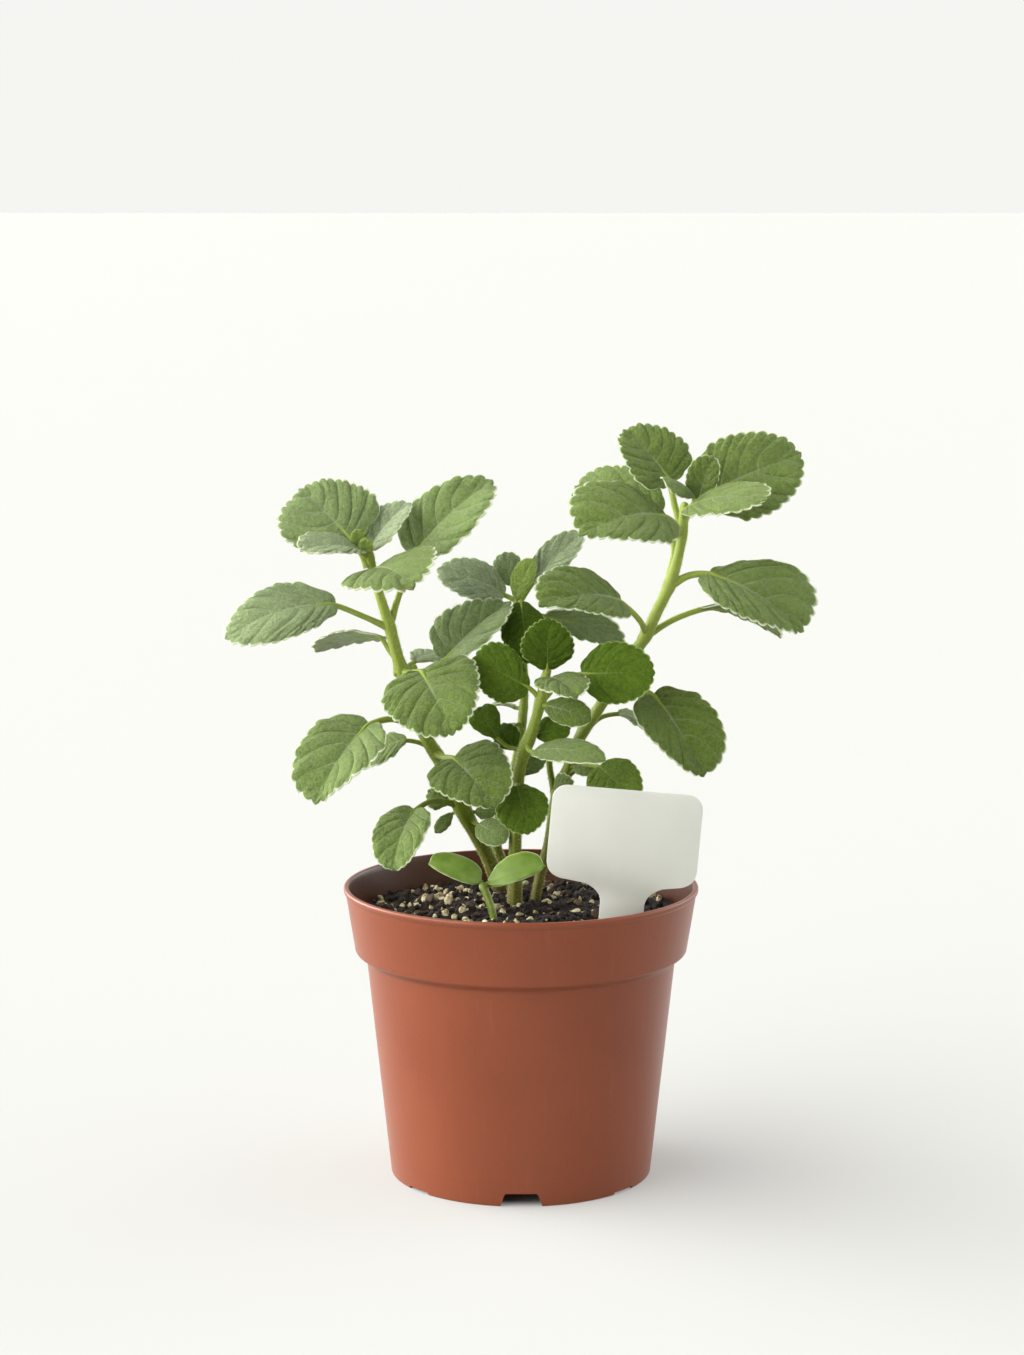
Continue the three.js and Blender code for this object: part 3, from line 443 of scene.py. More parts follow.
def growLeaf(name, leaf, shape=bladeShape, hairy=True):
    blade = Blade(leaf, shape)
    large = leaf["width"] > 12
    perTooth = 7 if large else 5
    half = 15 if large else 8
    marginX, marginY, m = blade.margin(perTooth)
    rightX, rightY = blade.margin(perTooth, -1)[:2]
    edgeX, edgeY = np.stack([rightX, marginX]), np.stack([rightY, marginY])
    midribX = blade.length * m ** shape["midribPower"]
    midribX[-1] = marginX[-1]
    r = leafRelief
    sweep = 0.3 * smoothStep(0.2, 0.7, m) * (1 - smoothStep(0.9, 1, m))
    vein = m ** blade.shape["veinPower"] * blade.shape["veins"]
    relief = max(shape["relief"] * leaf["width"], shape["leastRelief"])
    wave = randomDraw.uniform(0, 2 * np.pi, 6)
    strengths = randomDraw.uniform(0.45, 1.15, (2, 9))
    tone = leaf["tone"] + randomDraw.uniform(-0.04, 0.04)

    def place(row, column):
        across = (column - half) / half
        t = np.abs(across)
        hand = np.sign(across)
        isLeft = (hand > 0).astype(int)
        ax, bx, by = midribX[row], edgeX[isLeft, row], edgeY[isLeft, row]
        cx = ax + (bx - ax) * (0.5 - sweep[row])
        cy = by * (0.5 + 0.5 * sweep[row])
        x = (1 - t) ** 2 * ax + 2 * t * (1 - t) * cx + t ** 2 * bx
        y = 2 * t * (1 - t) * cy + t ** 2 * by
        # the side veins wander a little, and each lies deeper or shallower than the next
        phase = vein[row] + r["veinDrift"] * np.sin(5 * t + wave[4] + 2.1 * hand + 1.7 * vein[row])
        part = phase % 1
        nearest = np.clip(np.rint(phase).astype(int), 0, 8)
        valley = np.exp(-((part - np.rint(part)) / r["veinWidth"]) ** 2) * strengths[isLeft, nearest]
        pillow = r["pillow"] * np.sin(np.pi * part) - r["vein"] * valley
        twig = r["twig"] * np.exp(-((part - 0.5) / r["twigWidth"]) ** 2) * smoothStep(0.45, 0.8, t)
        strength = smoothStep(0.02, 0.3, t) * smoothStep(0.08, 0.3, m[row])
        strength *= 1 - 0.35 * smoothStep(0.75, 1, t)
        groove = np.exp(-(y / (0.045 * blade.half + 0.2)) ** 2) * (1 - 0.7 * x / blade.length)
        sway = (np.sin(5 * x / blade.length + wave[0] + hand * wave[1])
                * np.sin(3.2 * y / blade.half + wave[2])
                + 0.5 * np.sin(9 * x / blade.length + wave[3] * hand + 4 * t))
        ruffle = np.sin(2 * np.pi * m[row] * (2.5 + blade.teeth * 0.35) + wave[5] * hand)
        ruffle *= smoothStep(0.55, 1, t)
        raised = relief * ((pillow - twig) * strength - r["midrib"] * groove
                           - r["edge"] * smoothStep(0.86, 1, t))
        raised += leaf["width"] * (r["sway"] * sway * t + r["ruffle"] * ruffle)
        spots = blade.place(np.clip(x / blade.length, -0.08, 1.1), y * hand, raised)
        return spots, {"veinPhase": phase, "fromMidrib": t, "alongLeaf": x / blade.length,
                       "tone": np.full(len(row), tone)}

    sheet = mappedGrid(name, len(m) - 1, half * 2, place)
    group = sheet.vertex_groups.new(name="body")
    across = np.empty(len(sheet.data.vertices), np.float32)
    sheet.data.attributes["fromMidrib"].data.foreach_get("value", across)
    for index, share in enumerate(across):
        group.add([index], float(1 - 0.5 * smoothStep(0.8, 1, share)), "REPLACE")
    makeActive(sheet)
    bpy.ops.object.mode_set(mode="EDIT")
    bpy.ops.mesh.select_all(action="SELECT")
    bpy.ops.mesh.remove_doubles(threshold=1e-6)
    bpy.ops.object.mode_set(mode="OBJECT")
    middle = sheet.data.polygons[len(sheet.data.polygons) // 2]
    if middle.normal.dot(Vector(blade.facing)) < 0:
        sheet.data.flip_normals()
    applyModifier(sheet, "SOLIDIFY", thickness=shape["thickness"] * mm, offset=0, vertex_group="body",
                  material_offset=1, material_offset_rim=2)
    if hairy:
        count = int(blade.length * 9)
        for hand in (1, -1):
            pick = randomDraw.random(count) * (len(m) - 1)
            x = np.interp(pick, np.arange(len(m)), edgeX[int(hand > 0)])
            y = np.interp(pick, np.arange(len(m)), edgeY[int(hand > 0)])
            spots = blade.place(x / blade.length, y * hand, -0.35 * relief)
            inner = blade.place(x / blade.length - 0.02, y * 0.94 * hand, -0.3 * relief)
            outward = spots - inner
            outward /= np.linalg.norm(outward, axis=1)[:, None]
            outward += randomDraw.normal(0, 0.3, outward.shape)
            noteHairs(name.split("_")[0], spots - outward * 0.1, outward,
                      0.55 * (0.4 + 0.8 * randomDraw.random(count)))
    return sheet


def growStalk(name, leaf, hairy=True, thick=1.0):
    # the stalk leaves the stem, comes in along the blade and goes on under it as its midrib
    blade = Blade(leaf)
    joint = np.array(leaf["joint"], float)
    keel = -bladeShape["thickness"] * 0.35
    onBlade = [blade.place(share, 0, keel) for share in (0, 0.05, 0.1, 0.3, 0.55, 0.8)]
    direction = onBlade[1] - onBlade[0]
    direction /= np.linalg.norm(direction)
    span = np.linalg.norm(blade.base - joint)
    radius = min(0.5 + blade.half * 0.045, 1.1) * thick
    points = [joint]
    if "via" in leaf:
        points.append(np.array(leaf["via"], float))
    elif span > 5:
        straight = (joint + blade.base) / 2
        points.append((onBlade[0] - direction * span * 0.5) * 0.4 + straight * 0.6)
    points += [onBlade[0], onBlade[2], onBlade[3] + blade.facing * -0.1, onBlade[4], onBlade[5]]
    line = SmoothLine(points)
    reach = 1 - blade.length * 0.8 / line.length
    radii = np.interp(np.linspace(0, 1, 24), [0, reach * 0.3, reach, reach + (1 - reach) * 0.2, 1],
                      [radius * 1.35, radius, radius * 0.9, radius * 0.55, radius * 0.12])
    rings = int(max(stalkShape["leastRings"], line.length / stalkShape["ringStep"]))
    return growTube(name, points, radii, rings, stalkShape, domed=False, hairy=hairy)


leftStem = dict(
    path=[(-6, 34, 56), (-6, 32, 78), (-10, 27, 93), (-18, 20, 110), (-25, 14, 127), (-29, 12, 134),
          (-34, 8, 148), (-37.7, 5, 160), (-40.4, 3, 171), (-43.6, 1, 182), (-47, 0, 195)],
    radii=[2.5, 2.5, 2.3, 2, 1.8, 1.1])
# each leaf's tone runs from 0, dark green, to 1, pale grey-green: partly the leaf's own tone, partly painted
# light and shade for where it lies lit or shaded
leftLeaves = [
    dict(joint=(-47, 0, 190), base=(-51.5, 1, 198.1), tip=(-67.5, 9, 212.4), width=28.4, faces=(0.2, -1, 0.3),
         wedge=0.5, taper=0.32, rightWedge=0.15, rightTaper=0.5, teeth=10, cut=0.75, tone=0.6),
    dict(joint=(-40.4, 3, 172), via=(-37.2, 5, 182), base=(-32.6, 7, 193.4), tip=(-9.6, 11, 215), width=23.6,
         faces=(-0.8, -1, 0.3), fold=20, wedge=0.2, taper=0.55, rightWedge=0.4, rightTaper=0.5, teeth=8,
         cut=0.8, tone=0.46),
    dict(joint=(-47, 0, 193), base=(-48.8, -3, 195.2), tip=(-65.7, -15, 197), width=15, faces=(-0.1, -0.5, 1),
         fold=18, wedge=0.5, taper=0.35, teeth=6, tone=0.78),
    dict(joint=(-47, 0, 194), base=(-46, 3, 196), tip=(-34.5, 8, 208.5), width=14, faces=(-0.9, -1, 0.4),
         fold=24, wedge=0.3, teeth=7, cut=0.9, tone=1),
    dict(joint=(-45, 1, 186), base=(-44, -3, 190), tip=(-33, -28, 188), width=28, faces=(-0.3, -0.28, 1),
         fold=12, wedge=0.45, teeth=8, cut=1.2, tone=0.26),
    dict(joint=(-41, 3, 171), via=(-49, -0.6, 175.2), base=(-57, -4, 179), tip=(-89, -12, 170.1), width=20.6,
         faces=(0, -0.7, 0.75), arch=0.13, wedge=0.6, rightWedge=0.45, teeth=9, cut=0.7, tone=0.7),
    dict(joint=(-36.8, 5.6, 158.4), via=(-40.6, 7, 163), base=(-43.4, 9, 167.3), tip=(-64, 22, 161.3),
         width=15, faces=(0, 0.34, 0.94), wedge=0.35, taper=0.5, teeth=6, tone=1),
    dict(joint=(-37, 6, 157), via=(-34.4, 1, 157), base=(-30.3, -5, 158.4), tip=(-20.9, -22.5, 142.8),
         width=30.4, faces=(-0.1, -1, 0.6), fold=11, wedge=0.16, taper=0.45, rightWedge=0.2, rightTaper=0.45,
         teeth=10, cut=0.6, tone=0.2),
    dict(joint=(-36, 6, 156), base=(-23.2, 8, 160.6), tip=(-4, 11, 177.4), width=22.4, faces=(-0.9, -1, 0.3),
         fold=34, wedge=0.3, taper=0.85, rightWedge=0.6, rightTaper=0.6, teeth=7, cut=0.8, tone=0.6),
    dict(joint=(-37, 6, 157), base=(-33, 14, 159), tip=(-24, 26, 159), width=11, faces=(0, -0.3, 1), teeth=5,
         tone=0.8),
    dict(joint=(-30, 11, 137), base=(-47.2, 1, 141), tip=(-62.6, -11, 119.4), width=28.4,
         faces=(-0.7, -1, 0.3), fold=22, wedge=0.35, taper=0.8, rightWedge=0.3, rightTaper=0.36, teeth=8,
         cut=0.7, tone=0.44),
    dict(joint=(-25.2, 14.2, 126.6), base=(-36.3, 12, 134.4), tip=(-48.5, 14, 127), width=13,
         faces=(-0.2, -0.5, 1), teeth=5, tone=0.36),
    dict(joint=(-27, 13, 130), via=(-24, 6.5, 129.8), base=(-20.6, -2, 131), tip=(-8.4, -18, 119.3),
         width=25.4, faces=(0, -1, 0.6), fold=12, wedge=0.16, taper=0.32, rightWedge=0.16, rightTaper=0.6,
         rightShare=0.92, teeth=8, cut=0.5, tone=0.02),
    dict(joint=(-19, 19, 112), base=(-33.3, 6, 113), tip=(-39.7, -4, 96.6), width=19.4, faces=(-0.6, -1, 0.3),
         fold=20, wedge=0.22, taper=0.42, rightWedge=0.3, teeth=8, cut=0.4, tone=0.35),
    dict(joint=(-20, 18, 114), base=(-23, 21, 113), tip=(-29, 23, 116), width=9, faces=(0, -1, 0.5), teeth=4,
         tone=0.3),
    dict(joint=(-19, 19, 111), base=(-22, 21, 109), tip=(-27, 22, 103), width=4, faces=(0, -1, 0.3), teeth=3,
         tone=0.3),
    dict(joint=(-17, 20, 110), base=(-14, 20, 110), tip=(-8, 18, 110), width=5, faces=(0, -1, 0.6), teeth=3,
         tone=0.3),
    dict(joint=(-16, 21, 107), base=(-13, 14, 107), tip=(-5, 2, 104), width=9, faces=(0, -1, 0.5), wedge=0.5,
         taper=0.4, teeth=4, cut=0.5, tone=0.3),
    dict(joint=(-47, 0, 194), base=(-49.4, -1.2, 197.2), tip=(-50.4, -3, 201.8), width=4.4,
         faces=(0.2, -1, 0.2), fold=14, wedge=0.4, taper=0.4, teeth=3, cut=0.4, tone=1, inShade=True),
    dict(joint=(-46.8, 0, 193), base=(-47.4, -2.2, 194.8), tip=(-47, -4.4, 199.4), width=4.6,
         faces=(-0.1, -1, 0.3), fold=14, wedge=0.4, taper=0.4, teeth=3, cut=0.4, tone=1, inShade=True),
]
leftBuds = [(-38.4, 5, 156.5, 1.3), (-33.2, 6.4, 157.6, 1.3), (-38.8, 3.3, 177.5, 1)]

rightStem = dict(
    path=[(3, 17, 56), (4.2, 15, 80), (6, 16, 90), (9, 18, 101), (11, 18, 114), (15, 16, 125), (19, 14, 136),
          (24, 12, 144), (32, 9, 158), (38, 7, 167), (42, 5, 176), (46, 4, 185), (49, 3, 197), (50, 2, 209)],
    radii=[1.6, 1.55, 1.7, 1.8, 1.75, 1.7, 1.7, 1.1])
sideShoot = dict(
    path=[(11, 18, 113), (10, 19, 119), (9, 19, 125), (9, 18, 131)],
    radii=[1.1, 0.9])
rightLeaves = [
    dict(joint=(49, 3, 202), base=(56.6, 5, 211.8), tip=(85.2, 12, 223.6), width=26.4, faces=(-0.1, -1, 0.3),
         wedge=0.25, taper=0.5, rightWedge=0.4, teeth=9, cut=0.8, tone=0.34),
    dict(joint=(49.4, 3, 201), via=(47.2, 4.4, 208), base=(45.4, 6, 216.2), tip=(32.2, 12, 230.3), width=24,
         faces=(0.7, -1, 0.2), fold=22, wedge=0.16, taper=0.5, rightWedge=0.14, rightTaper=0.45,
         rightShare=0.95, teeth=8, cut=0.8, tone=0.06),
    dict(joint=(45, 4, 184), base=(42, 14, 204.6), tip=(17.6, 25, 212.2), width=22, faces=(0, -1, 0.5),
         wedge=0.3, taper=0.4, teeth=9, cut=0.7, tone=0.38),
    dict(joint=(49, 3, 199), base=(44.2, -5, 206), tip=(18.4, -21, 202.6), width=24.4, faces=(0, -0.8, 0.65),
         arch=0.14, fold=18, curl=0.2, wedge=0.3, taper=0.8, rightWedge=0.9, rightTaper=0.32, rightShare=1.24,
         teeth=9, cut=0.9, tone=0.24),
    dict(joint=(50, 2, 207), base=(54.4, 0, 211.4), tip=(58, -2, 223.8), width=11.6, faces=(-0.1, -1, 0.4),
         fold=20, wedge=0.38, taper=0.36, rightShare=0.7, teeth=6, cut=0.6, tone=0.12),
    dict(joint=(50, 2, 207), base=(52.6, -2, 212), tip=(43, -10, 218), width=7, faces=(-0.1, -0.6, 0.9),
         fold=-8, curl=0.5, wedge=0.5, taper=0.3, teeth=5, cut=0.7, tone=0.5),
    dict(joint=(50, 3, 205), base=(51, -6, 209.2), tip=(72, -23, 213), width=18, faces=(0, -0.6, 1), fold=12,
         curl=0.22, wedge=0.7, taper=0.36, rightWedge=0.3, teeth=8, cut=1.2, tone=0.26),
    dict(joint=(46, 4, 184), base=(57.6, 2, 187.8), tip=(85.2, -5, 171.6), width=30.6, faces=(0.5, -1, 0.8),
         arch=0.1, fold=20, wedge=0.95, taper=0.36, rightWedge=0.35, rightTaper=0.7, rightShare=0.86,
         teeth=10, cut=0.7, tone=0.38),
    dict(joint=(39, 7, 168), via=(47.6, 10.4, 172.6), base=(56.2, 13, 175.6), tip=(80.6, 19, 166.4), width=19,
         faces=(0.2, 0.25, 1), arch=0.12, wedge=0.5, teeth=7, tone=0.1),
    dict(joint=(39, 7, 168), via=(36, 1, 174), base=(30.4, -4, 180), tip=(6, -21, 181), width=19.6,
         faces=(-0.1, -1, 0.9), arch=0.12, fold=18, curl=0.2, wedge=0.25, taper=0.8, rightWedge=0.6,
         rightTaper=0.4, rightShare=1.24, teeth=9, cut=0.7, tone=0.06),
    dict(joint=(27, 11, 150), base=(41, 4, 149.6), tip=(55.6, -6, 126.8), width=26.4, faces=(0.4, -1, 0.4),
         fold=20, wedge=0.45, taper=0.4, rightWedge=0.2, rightTaper=0.6, rightShare=0.9, teeth=8, cut=0.55,
         tone=0),
    dict(joint=(20, 13, 137), base=(31, 17, 142), tip=(42, 21, 135), width=11, faces=(0, -0.3, 1), teeth=5,
         tone=0.8),
    dict(joint=(13, 17, 121), base=(24.5, 5, 127), tip=(34.5, -7, 118), width=16, faces=(0.1, -1, 0.4),
         wedge=0.3, taper=0.45, teeth=6, cut=0.5, tone=0.5, inShade=True),
    dict(joint=(12, 17, 122), base=(17, 13, 126), tip=(24, 8, 125), width=6, faces=(0, -0.8, 0.6), teeth=4,
         tone=0.2),
    dict(joint=(11, 18, 116), base=(11, 13, 118), tip=(16, 7, 122), width=8, faces=(0, -1, 0.4), teeth=4,
         tone=0.2),
    dict(joint=(9, 18, 130), base=(9, 17, 132), tip=(14, 15, 137), width=6, faces=(-0.3, -1, 0.4), teeth=3,
         tone=0.4, inShade=True),
]
rightBuds = [(48, 4, 186, 1), (41, 6, 171, 1)]

frontStem = dict(
    path=[(-2.2, 8, 56), (-2, 5.8, 80), (-1.8, 6, 93), (-1.8, 5.4, 104), (-1, 3, 123), (1, 1, 133),
          (3, 0, 138), (6, -3, 149), (7, -5, 155), (8, -6, 159)],
    radii=[2.6, 2.6, 2, 1.85, 1.7, 1.25])
frontLeaves = [
    dict(joint=(7, -5, 156), base=(8, -7, 160), tip=(8, -10, 175), width=15.6, faces=(0, -1, 0.15), wedge=0.5,
         teeth=8, cut=0.7, tone=0, inShade=True),
    dict(joint=(6, -3, 149), base=(2, -4, 153.6), tip=(-14.2, -5, 162.2), width=16, faces=(0, -1, 0.2),
         wedge=0.35, taper=0.5, rightWedge=0.75, rightTaper=0.38, teeth=8, cut=0.7, tone=0.25, inShade=True),
    dict(joint=(6, -3, 149), base=(19, -6, 158), tip=(40, -11, 159), width=18.4, faces=(0.1, -1, 0.2),
         wedge=0.4, taper=0.45, teeth=8, cut=0.6, tone=0.2, inShade=True),
    dict(joint=(7, -5, 154), base=(9, -9, 157), tip=(16, -26, 154), width=16, faces=(0, -0.4, 1), fold=20,
         curl=0.25, teeth=6, tone=0.02),
    dict(joint=(6, -3, 148), base=(8, -6, 148), tip=(21, -14, 145), width=9, faces=(0, -1, 0.5), wedge=0.5,
         taper=0.45, teeth=4, cut=0.6, tone=0),
    dict(joint=(3, 0, 137), base=(5, 2, 138), tip=(15, 3, 140), width=9, faces=(0, -1, 0.3), teeth=4, cut=0.6,
         tone=0.3, inShade=True),
    dict(joint=(2, 0, 135), base=(4, -7, 134), tip=(25, -23, 134), width=12, faces=(0, -0.6, 1), teeth=6,
         cut=0.6, tone=0.15),
    dict(joint=(1, 1, 133), base=(-7.6, 5, 136.4), tip=(-13.2, 8.4, 144.9), width=9.4, faces=(0, -1, 0.3),
         wedge=0.8, taper=0.32, teeth=4, cut=0.6, tone=0.2, inShade=True),
    dict(joint=(1, 1, 132), base=(-2, 6, 133), tip=(-7, 10, 139), width=8, faces=(0, -1, 0.3), teeth=4,
         tone=0.05, inShade=True),
    dict(joint=(-1, 3, 122), base=(1, 5, 125), tip=(7, 9, 130), width=6, faces=(-0.4, -1, 0.3), teeth=3,
         tone=0.2),
    dict(joint=(-1, 4, 119), base=(-1, -3, 122), tip=(2, -9, 109), width=16, faces=(0, -1, 0.2), wedge=0.5,
         teeth=7, cut=0.5, tone=0.3, inShade=True),
]

backStem = dict(
    path=[(3, 39, 56), (0, 38, 80), (-7.6, 33, 96), (-6.4, 28, 109), (-2, 25, 123), (0, 22, 135),
          (1, 21, 146), (1, 21, 154), (0, 20, 165), (-1, 20, 177)],
    radii=[1.7, 1.6, 1.5, 1.4, 1.2, 1])
backLeaves = [
    dict(joint=(-1, 20, 177), base=(-5.6, 21, 179.2), tip=(-25.6, 22, 186.4), width=15, faces=(0, -0.7, 0.7),
         fold=12, teeth=6, cut=0.8, tone=1),
    dict(joint=(-1, 20, 177), base=(-3, 24, 182), tip=(-5, 28, 191), width=8.6, faces=(0, -1, 0.3), wedge=0.5,
         taper=0.4, teeth=4, tone=0.7),
    dict(joint=(-1, 20, 176), base=(-1.4, 16, 178.8), tip=(3.8, 14, 190.8), width=8.4, faces=(-0.5, -1, 0.2),
         wedge=0.6, taper=0.5, rightShare=0.8, teeth=4, cut=0.3, tone=0.9, inShade=True),
    dict(joint=(-1, 20, 175), base=(4, 21, 183), tip=(19, 22, 198), width=11, faces=(-0.4, -1, 0.3), fold=24,
         teeth=6, tone=1),
    dict(joint=(-1, 20, 175), base=(0, 14, 177), tip=(2, 5, 160), width=14, faces=(0, -1, 0.3), wedge=0.6,
         teeth=6, cut=0.6, tone=0, inShade=True),
    dict(joint=(-1, 20, 174), base=(8, 23, 172), tip=(32, 27, 163), width=15, faces=(0.1, 0.7, 0.75), teeth=6,
         cut=1.2, tone=0.6),
    dict(joint=(1, 21, 143), base=(-2, 23, 143), tip=(-9, 27, 143), width=8, faces=(0, 0.2, 1), teeth=3,
         tone=0.9),
    dict(joint=(1, 21, 138), base=(-2, 20, 138), tip=(-6, 18, 137), width=5, faces=(0, 0.2, 1), teeth=3,
         tone=0.6),
]

seedlingStem = dict(
    path=[(-8, -14, 62), (-8, -14, 80), (-8.6, -13.4, 84.4), (-10.4, -11.4, 89.6), (-11.8, -10, 92.6)],
    radii=[1.1, 1.1, 1.1, 1.3])
seedLeaves = [
    dict(joint=(-11.6, -10, 92), base=(-12.6, -9.4, 94.2), tip=(-28.2, -9.4, 99.4), width=6,
         faces=(0, -0.7, 0.7), arch=0.06, fold=4, curl=0.1, wedge=0.35, taper=0.6, rightWedge=0.25,
         rightTaper=0.24, rightShare=2.05, tone=0.3),
    dict(joint=(-11.6, -10, 92), base=(-9.8, -9.6, 93.4), tip=(7, -10, 98.8), width=14, faces=(0, -0.7, 0.7),
         arch=0.06, fold=4, curl=0.1, wedge=0.6, taper=0.38, rightWedge=0.45, rightTaper=0.6, rightShare=0.45,
         tone=0.6),
]


def velvetLeaf(name, ground, vein, edge, sheen, veinShare, glow, gloss=0.25):
    # a soft leaf grown with a coat of short hairs: it gives a chalky, mottled green with sunken veins, and
    # painted light and shade on its tiny cushions
    material, add = newMaterial(name)
    coords = add("TexCoord", out="Object")
    phase = add("Attribute", out="Fac", attribute_name="veinPhase")
    across = add("Attribute", out="Fac", attribute_name="fromMidrib")
    along = add("Attribute", out="Fac", attribute_name="alongLeaf")
    # the colour follows the leaf's tone: partly its own tone, partly painted light and shade
    green = add("ValToRGB", {0: add("Attribute", out="Fac", attribute_name="tone")}, stops=ground)
    # cloudy patches 7 mm across
    patches = add("TexNoise", {"Vector": coords, "Scale": perMetre(7.14), "Detail": 3})
    cloud = add("ValToRGB", {0: patches}, stops=[(0.32, 0.72), (0.68, 1.0)])
    green = add("Mix", {0: 0.6, 6: green, 7: cloud}, **timesColour)
    # little cushions 1.4 mm wide between the smallest veins, and tufts of hair under 1 mm: paler where the
    # bump rises and darker between, partly their own mottled tone and partly painted light and shade on that
    # relief
    cells = add("TexVoronoi", {"Vector": coords, "Scale": perMetre(1.43), "Smoothness": 0.6},
                feature="SMOOTH_F1")
    cushion = add("MapRange", {0: cells, 1: 0.15, 2: 0.7, 3: 1.0, 4: 0.0})
    tufts = add("TexNoise", {"Vector": coords, "Scale": perMetre(0.588), "Detail": 4, "Roughness": 0.75})
    tuft = add("MapRange", {0: tufts, 1: 0.34, 2: 0.66, 3: 0.0, 4: 1.0})
    cushionShadeAndMottle = add("MapRange", {0: add("Mix", {0: 0.75, 2: cushion, 3: tuft}), 1: 0.2, 2: 0.8, 3: 0.6, 4: 1.16})
    green = add("Mix", {0: 0.8, 6: green, 7: cushionShadeAndMottle}, **timesColour)
    # side veins lie where the phase is whole, and fade towards the margin
    nearVein = add("Math", {0: phase, 1: 0.5}, operation="PINGPONG")
    veinLine = add("MapRange", {0: nearVein, 1: 0.0, 2: 0.085, 3: 1.0, 4: 0.0}, **smooth)
    fade = add("MapRange", {0: across, 1: 0.1, 2: 0.95, 3: 1.0, 4: 0.1})
    veinLine = add("Math", {0: veinLine, 1: fade}, operation="MULTIPLY")
    share = add("Math", {0: veinLine, 1: veinShare}, operation="MULTIPLY")
    green = add("Mix", {0: share, 6: green, 7: colour(vein)}, **asColour)
    # a net of the finest veins, in meshes 2 mm wide
    drift = add("TexNoise", {"Vector": coords, "Scale": perMetre(2)}, out="Color")
    drifted = add("VectorMath", {0: drift, 1: (2 * mm, 2 * mm, 2 * mm), 2: coords}, operation="MULTIPLY_ADD")
    mesh = add("TexVoronoi", {"Vector": drifted, "Scale": perMetre(2)}, feature="DISTANCE_TO_EDGE")
    net = add("MapRange", {0: mesh, 1: 0.02, 2: 0.17, 3: 1.0, 4: 0.0})
    share = add("Math", {0: net, 1: 0.03 + 0.2 * veinShare}, operation="MULTIPLY")
    green = add("Mix", {0: share, 6: green, 7: colour(vein)}, **asColour)
    # the midrib is palest at the leaf's foot, and the rim is pale all round
    midrib = add("MapRange", {0: across, 1: 0.0, 2: 0.05, 3: 0.35, 4: 0.0}, **smooth)
    fade = add("MapRange", {0: along, 1: 0.1, 2: 0.8, 3: 1.0, 4: 0.0})
    midrib = add("Math", {0: midrib, 1: fade}, operation="MULTIPLY")
    green = add("Mix", {0: midrib, 6: green, 7: colour(edge)}, **asColour)
    rim = add("MapRange", {0: across, 1: 0.955, 2: 1.0, 3: 0.0, 4: 0.9}, **smooth)
    green = add("Mix", {0: rim, 6: green, 7: colour(edge)}, **asColour)
    height = add("Mix", {0: 0.6, 2: cushion, 3: tuft})
    for groove, depth in ((veinLine, -0.6), (net, -0.3)):
        height = add("Math", {0: groove, 1: depth, 2: height}, operation="MULTIPLY_ADD")
    add("OutputMaterial", {"Surface": add("BsdfPrincipled", {
        "Base Color": green, "Roughness": 0.7, "IOR": 1.42, "Specular IOR Level": gloss,
        "Sheen Weight": sheen, "Sheen Roughness": 0.5, "Sheen Tint": colour("#eef2e0"),
        "Subsurface Weight": glow, "Subsurface Radius": (0.7, 1.0, 0.2), "Subsurface Scale": 0.0013,
        "Normal": add("Bump", {"Height": height, "Strength": 0.9, "Distance": 0.0005})})})
    return material


velvetStops = [(0.0, "#5a7016"), (0.33, "#6c8335"), (0.66, "#7e925b"), (1.0, "#9dac85")]
# undersides are paler than upper sides, and these stops are lighter still, painting light that shines through
# the leaf and up from below
velvetUnderStops = [(0.0, "#95a47c"), (0.33, "#aab592"), (0.66, "#c2c9b0"), (1.0, "#e2e5d8")]
shadedStops = [(0.0, "#48610e"), (0.33, "#5e7a20"), (1.0, "#93a855")]
shadedUnderStops = [(0.0, "#586f2c"), (0.33, "#758748"), (1.0, "#93a26b")]
# leaves out in the light, with a thick coat of hairs: this paler copy with more sheen paints their light;
# upper side, underside and margin
velvetMarginStops = [(0.0, "#c0cda0"), (1.0, "#dde4cc")]
litHairyLeaf = [velvetLeaf("velvetyLeafUpperSide", velvetStops, "#98ab7e", "#d2d9bf", 0.2, 0.3, 0.25),
             velvetLeaf("velvetyLeafUnderside", velvetUnderStops, "#d0d6bf", "#cdd5b6", 0.3, 0.35, 0.7),
             velvetLeaf("velvetyLeafMargin", velvetMarginStops, "#d2dcb8", "#d2dcb8", 0.4, 0.1, 0.3)]
# leaves in the shade of others: this copy is darker and greener with little sheen, partly fewer hairs and
# partly painted shade
shadedMarginStops = [(0.0, "#8ea962"), (1.0, "#afc386")]
shadedLeaf = [velvetLeaf("lushLeafUpperSide", shadedStops, "#7f984c", "#9db06c", 0.02, 0.25, 0.2, 0.12),
            velvetLeaf("lushLeafUnderside", shadedUnderStops, "#a4b77a", "#a9be78", 0.1, 0.4, 0.3),
            velvetLeaf("lushLeafMargin", shadedMarginStops, "#a9be78", "#a9be78", 0.1, 0.1, 0.3)]


